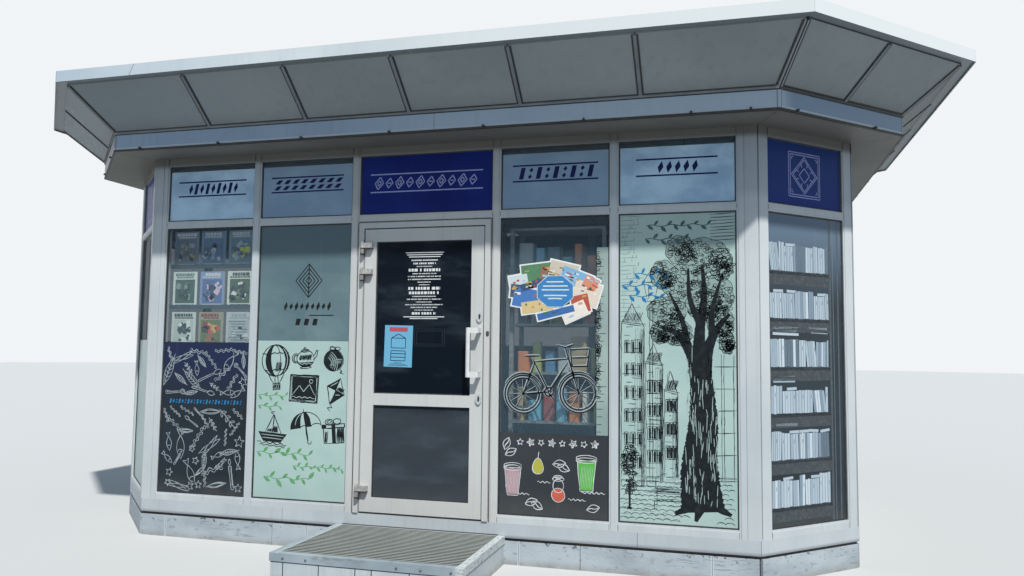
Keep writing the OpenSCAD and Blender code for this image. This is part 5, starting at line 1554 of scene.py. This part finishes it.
SHELVES = [(0.452, 0.66), (0.75, 0.955), (1.045, 1.235), (1.345, 1.54), (1.66, 1.86), (1.97, 2.175)]
outlines, book_tones = bookcase(-0.342, 0.215, SHELVES)
outlines += [patch(x, 1.34, w, 2.02, 0) for x, w in ((0.232, 0.02), (0.262, 0.004), (0.31, 0.012))]
book_tones += ["3B474F", "6A7982", "42505A"]
LYING = [(-0.2, 1.598, 0.24, 0.016, "B7C5D1"), (-0.21, 1.578, 0.22, 0.016, "A9B9C5"),
         (-0.2, 1.558, 0.24, 0.016, "B7C5D1"), (0.1, 1.598, 0.19, 0.015, "ABBBC8"),
         (0.12, 1.573, 0.16, 0.015, "97A8B4"), (-0.22, 1.288, 0.2, 0.013, "9AACBA"),
         (-0.22, 1.27, 0.19, 0.013, "8FA1AE"), (-0.22, 1.252, 0.2, 0.013, "9AACBA"),
         (-0.2, 0.975, 0.2, 0.016, "B7C5D1")]
for s, z, w, high, code in LYING:
    outlines.append(patch(s, z, w, high, hand.normal(0, 0.8)))
    book_tones.append(code)
# The print's top turns a paler blue: painted reflection.
sheet_on(1, "film_bookcase", inside_bays(1, FILM_FOOT, FILM_HEAD),
         film("bookcase_film", "2A373E", "232B32", coat=0.1, high=(1.7, 2.35, "617589")))
piece("printed_books", plates(1, outlines, FILM, FILM + 0.0004), printed,
      tones=colours([(c, 4) for c in book_tones]))
spines = [o for o, c in zip(outlines, book_tones)
          if c in ("B7C5D1", "C6D3DD", "ABBBC8") and np.ptp(o[:, 1]) > 0.1]
middles = [o.mean(0) for o in spines[::3]]
titles = [path(s, z + 0.02, s, z + 0.045) for s, z in middles]
edges = [path(*o[1], *o[2]) for o in spines]
piece("book_marks", join(bands(1, titles, 0.004, FILM + 0.0006, taper=0),
                         bands(1, edges, 0.003, FILM + 0.0006, taper=0)),
      teal_ink)
for k in (3, 5, 7):
    sheet_on(k, f"film_corner_{k}", inside_bays(k, FILM_FOOT, MINT_HEAD), mint)

# %% [markdown]
# ## The door
# A notice of plain white dashes fills the upper half of the leaf's pane, between ruled lines. What
# is on the leaf rides on the door body, so it swings with it.

# %% Door notice
def dashes(half, high, s, z):
    """One row: short blocks, each with a random length, and hairline gaps between them."""
    row, at = [], s - half
    while at < s + half:
        long = min(hand.uniform(0.5, 1.3) * high, s + half - at)
        row.append((at, at + long, z - high, z))
        at += long + (0.3 if hand.uniform() < 0.8 else 0.9) * high
    return row


rules = [path(-0.14, 2.12, 0.15, 2.12), path(-0.13, 2.105, 0.14, 2.105),
         path(-0.115, 2.09, 0.125, 2.09)]
marks, z = [], 2.07
for half, high in ((0.1, 0.009), (0.085, 0.012), (0.06, 0.006), (0.12, 0.02), (0.09, 0.007),
                   (0.125, 0.008), (0.125, 0.008), (0.05, 0.007), (0.04, 0.006), (0.12, 0.02),
                   (0.115, 0.019), (0.09, 0.007), (0.13, 0.008), (0.06, 0.006), (0.14, 0.007),
                   (0.1, 0.007), (0.07, 0.006), (0.09, 0.016)):
    marks += dashes(half, high, 0.005, z)
    z -= high + 0.0125
rules += [path(-0.15, z - 0.004, 0.16, z - 0.004), path(-0.1, z - 0.016, 0.11, z - 0.016)]
PANE = DOOR_GLASS + 0.0004
piece("door_notice", join(blocks(0, [(*m, DOOR_GLASS, PANE) for m in marks]),
                          bands(0, rules, 0.006, PANE, taper=0)),
      white_ink, "door")

# %% [markdown]
# ## The sheet beside the handle
# A blue sheet of about A4 is stuck to the pane, one degree askew, with a red bar and a small plain
# drawing. The bar and the drawing lie on the sheet in layers of a fifth of a millimetre.

# %% Blue sheet
SHEET_S, SHEET_TURN = -0.1825, -1.0
SHEET, BAR_FACE = DOOR_GLASS + 0.0006, DOOR_GLASS + 0.0008
piece("door_sheet", plates(0, [patch(SHEET_S, 1.453, 0.215, 0.296, SHEET_TURN)], DOOR_GLASS, SHEET),
      printed, "door", tones=colours([("69AFD0", 4)]))
piece("door_sheet_bar",
      plates(0, [patch(SHEET_S, 1.572, 0.14, 0.032, SHEET_TURN)], SHEET, BAR_FACE),
      printed, "door", tones=colours([("B5485E", 4)]))
picture = [rectangle(-0.055, -0.02, 0.055, 0.05), path(-0.055, 0.05, 0, 0.08, 0.055, 0.05),
           rectangle(-0.055, -0.11, 0.055, -0.04), path(-0.055, -0.06, 0.055, -0.06),
           path(-0.055, -0.085, 0.055, -0.085)]
print_rows = [path(-w, z, w, z) for w, z in ((0.03, -0.125), (0.06, -0.134), (0.075, -0.143))]
piece("door_sheet_picture",
      join(*[bands(0, place(lines, SHEET_S, 1.46, 1.0, SHEET_TURN), width, BAR_FACE, taper=0)
             for lines, width in ((picture, 0.005), (print_rows, 0.003))]),
      navy_ink, "door")

# %% [markdown]
# ## Locks and strike plate
# Two oval covers with keyholes sit on the leaf's stile, over the solids that the construction has
# for them. A small turned button on the frame takes the bolt and stays where it is.

# %% Locks, pocket and strike plate
lock_low, lock_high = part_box("door_locks")
lock_s, lock_out = (lock_low.x + lock_high.x) / 2, -half_y - lock_low.y
lock_zs = (lock_high.z - 0.012, lock_low.z + 0.028)
covers = [arc(lock_s, z, 0.0215, 0.0325, 0, 352, 45) for z in lock_zs]
piece("lock_covers", plates(0, covers, lock_out - 0.003, lock_out + 0.0006), lock_metal, "door")
slots = [arc(lock_s + 0.001, z + 0.005, 0.0075, 0.0195, 0, 340, 18) for z in lock_zs]
piece("lock_slots", plates(0, slots, lock_out, lock_out + 0.001), gasket_and_shade, "door")
pocket = [rectangle(-0.061, 1.456, 0.165, 1.576), rectangle(-0.045, 1.47, 0.149, 1.562)]
piece("door_pocket", bands(0, pocket, 0.0035, DOOR_GLASS + 0.0003, taper=0),
      drawn("pocket_edge", "232D38", "2E3A46"), "door")
BUTTON = [(0.011, 0.0098), (0.0105, 0.0145), (0.007, 0.0165), (0.002, 0.017)]
piece("strike_plate", knobs(0, [(0.487, 1.553), (0.487, 1.540)], BUTTON), steel,
      smooth=True)

# %% [markdown]
# ## Magazines
# Nine magazines stand in the rack behind the slate film's bay. Each cover is a plain colour with
# a row of dashes and simple fields, seeded in place, size and tilt. All fields are thin plates
# in layers on the face that the construction gives the magazines.

# %% Covers
COVERS = [("66798F", "53636F", ("B59A55", "8A5145", "9AAAB6", "2C3740")),
          ("5F88AB", "4A6E94", ("D6D2DE", "8FB2D0", "E6EBEF", "2A4260")),
          ("7898AB", "5C7E8F", ("D9E24A", "B0C8D3", "3A5260", "D9E24A")),
          ("E6F4EC", "46604F", ("223229", "8FA89C", "26382E", "6A8674")),
          ("8FA6CC", "5F77A6", ("25304F", "EAD2E4", "DCE6F6", "303C60")),
          ("E6F2E6", "4E6346", ("EEF5EC", "25322A", "70865F", "2B392C")),
          ("DCE7DF", "C6D4CB", ("2C4438", "31493C", "ECF6EE", "2A3F34")),
          ("A6A78A", "6C7D48", ("C9604F", "4A3A30", "DDB565", "8F3E3A")),
          ("CBD6D5", "B8C4C4", ("C4CFD1", "B4C0C2", "DFE8E8", "A7B4B6"))]
MAGAZINE_Y = 1.9175
face = MAGAZINE_Y - half_y + 0.0003
covers, cover_tones = [], []


def cover_field(s, z, w, h, turn, level, code):
    covers.append(plates(0, [patch(s, z, w, h, turn)], face, face + 0.0002 * level))
    cover_tones.append((code, 4))


for i, (page, picture, details) in enumerate(COVERS):
    row, column = divmod(i, 3)
    s, z = -2.011 + column * 0.244, 2.189 - row * 0.315
    cover_field(s, z, 0.216, 0.284, 0, 1, page)
    cover_field(s, z - 0.012, 0.176, 0.186, 0, 2, picture)
    for j in range(16):
        u, v = hand.uniform(-0.066, 0.066), hand.uniform(-0.082, 0.062)
        cover_field(s + u, z + v, hand.uniform(0.012, 0.06), hand.uniform(0.01, 0.05),
                    hand.normal(0, 25), 3 + j // 4, details[hand.integers(4)])
    for dz, high in ((0.118, 0.024), (0.096, 0.01), (-0.118, 0.012), (-0.134, 0.006)):
        at = s - hand.uniform(0.06, 0.09)
        while at < s + 0.07:
            long = hand.uniform(0.012, 0.03)
            cover_field(at + long / 2, z + dz, long, high, 0, 8,
                        "E3E6E4" if row == 0 or i == 4 else details[3])
            at += long + 0.005
    for dz in np.arange(-0.11, 0.09, 0.02) if i == 8 else ():
        cover_field(s + hand.uniform(-0.02, 0.02), z + dz, hand.uniform(0.1, 0.16), 0.006, 0, 9,
                    "7D898C")
piece("magazine_covers", join(*covers), printed, tones=colours(cover_tones))

# %% [markdown]
# ## Goods on the shelf
# On the open shelf stand boxes, packs and rolls in seeded sizes and colours. They show only
# through glass, so a rounded section carried up in four rings is enough for each.

# %% Goods on the shelf
def packs(k, boxes, roundness):
    """Packs with soft edges: each box's section is a rounded rectangle, carried up from its foot
    to its top with the last ring drawn in, so the upper edge is soft too."""
    points, faces, before = [], [], 0
    t = np.linspace(0, 2 * np.pi, 16, endpoint=False)
    cos, sin = (np.sign(w) * np.abs(w) ** roundness for w in (np.cos(t), np.sin(t)))
    for s0, s1, z0, z1, o0, o1 in boxes:
        rings = [(1.0, z0), (1.0, z1 - 0.004), (0.96, z1 - 0.0012), (0.9, z1)]
        for r, z in rings:
            points.append(on_wall(k, (s0 + s1) / 2 + r * (s1 - s0) / 2 * cos, z,
                                  (o0 + o1) / 2 + r * (o1 - o0) / 2 * sin))
        grid = before + np.arange(64).reshape(4, 16)
        a, b = grid[:-1], grid[1:]
        faces += np.stack([a, b, np.roll(b, -1, 1), np.roll(a, -1, 1)], -1).reshape(-1, 4).tolist()
        faces += [grid[-1][::-1].tolist(), grid[0].tolist()]
        before += 64
    return np.concatenate(points), faces


shelf_low, shelf_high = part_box("display_shelf")
SHELF_FOOT, SHELF_STEP, BOARD_THICK = 0.262, 0.3353, 0.016
levels = [SHELF_FOOT + SHELF_STEP * i + (BOARD_THICK if i else 0.0) for i in range(6)]
goods, goods_tones = [], []
WARES = ["9A4A40", "6F9488", "AEBDC0", "4F82A8", "D9DCCB", "5E6A75",
         "C98043", "A9B45E", "E2E8E2", "3F6078", "AFA07A", "6FB4CF"]
for level in levels:
    s = shelf_low.x + 0.045
    while s < shelf_high.x - 0.09:
        w, h, d = hand.uniform(0.05, 0.13), hand.uniform(0.12, 0.25), hand.uniform(0.05, 0.2)
        w = min(w, shelf_high.x - 0.045 - s)
        front = -half_y - shelf_low.y - 0.035 - hand.uniform(0, 0.02)
        goods.append((s, s + w, level, level + h, front - d, front))
        goods_tones += [ink(WARES[hand.integers(len(WARES))])] * 50
        s += w + hand.uniform(0.008, 0.03)
piece("shelf_goods", packs(0, goods, 0.35), printed, tones=goods_tones)

# %% [markdown]
# ## Bolts and screws
# Round heads show along the foot of the step's rim. They are turned: a profile carried round each
# place, from the rim up to the crown.

# %% Bolts of the step
HEAD = [(0.0085, 0.0), (0.0085, 0.003), (0.0065, 0.0052), (0.003, 0.006)]
step_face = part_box("step_frame")[0].y
reach = -half_y - step_face
places = [(s, 0.158) for s in (-0.532, -0.377, 0.212, 0.364, 0.55)]
bolts = knobs(0, places, [(r * 0.85, reach - 0.0005 + h) for r, h in HEAD], 14)
piece("step_bolts", bolts, bolt_steel, smooth=True)
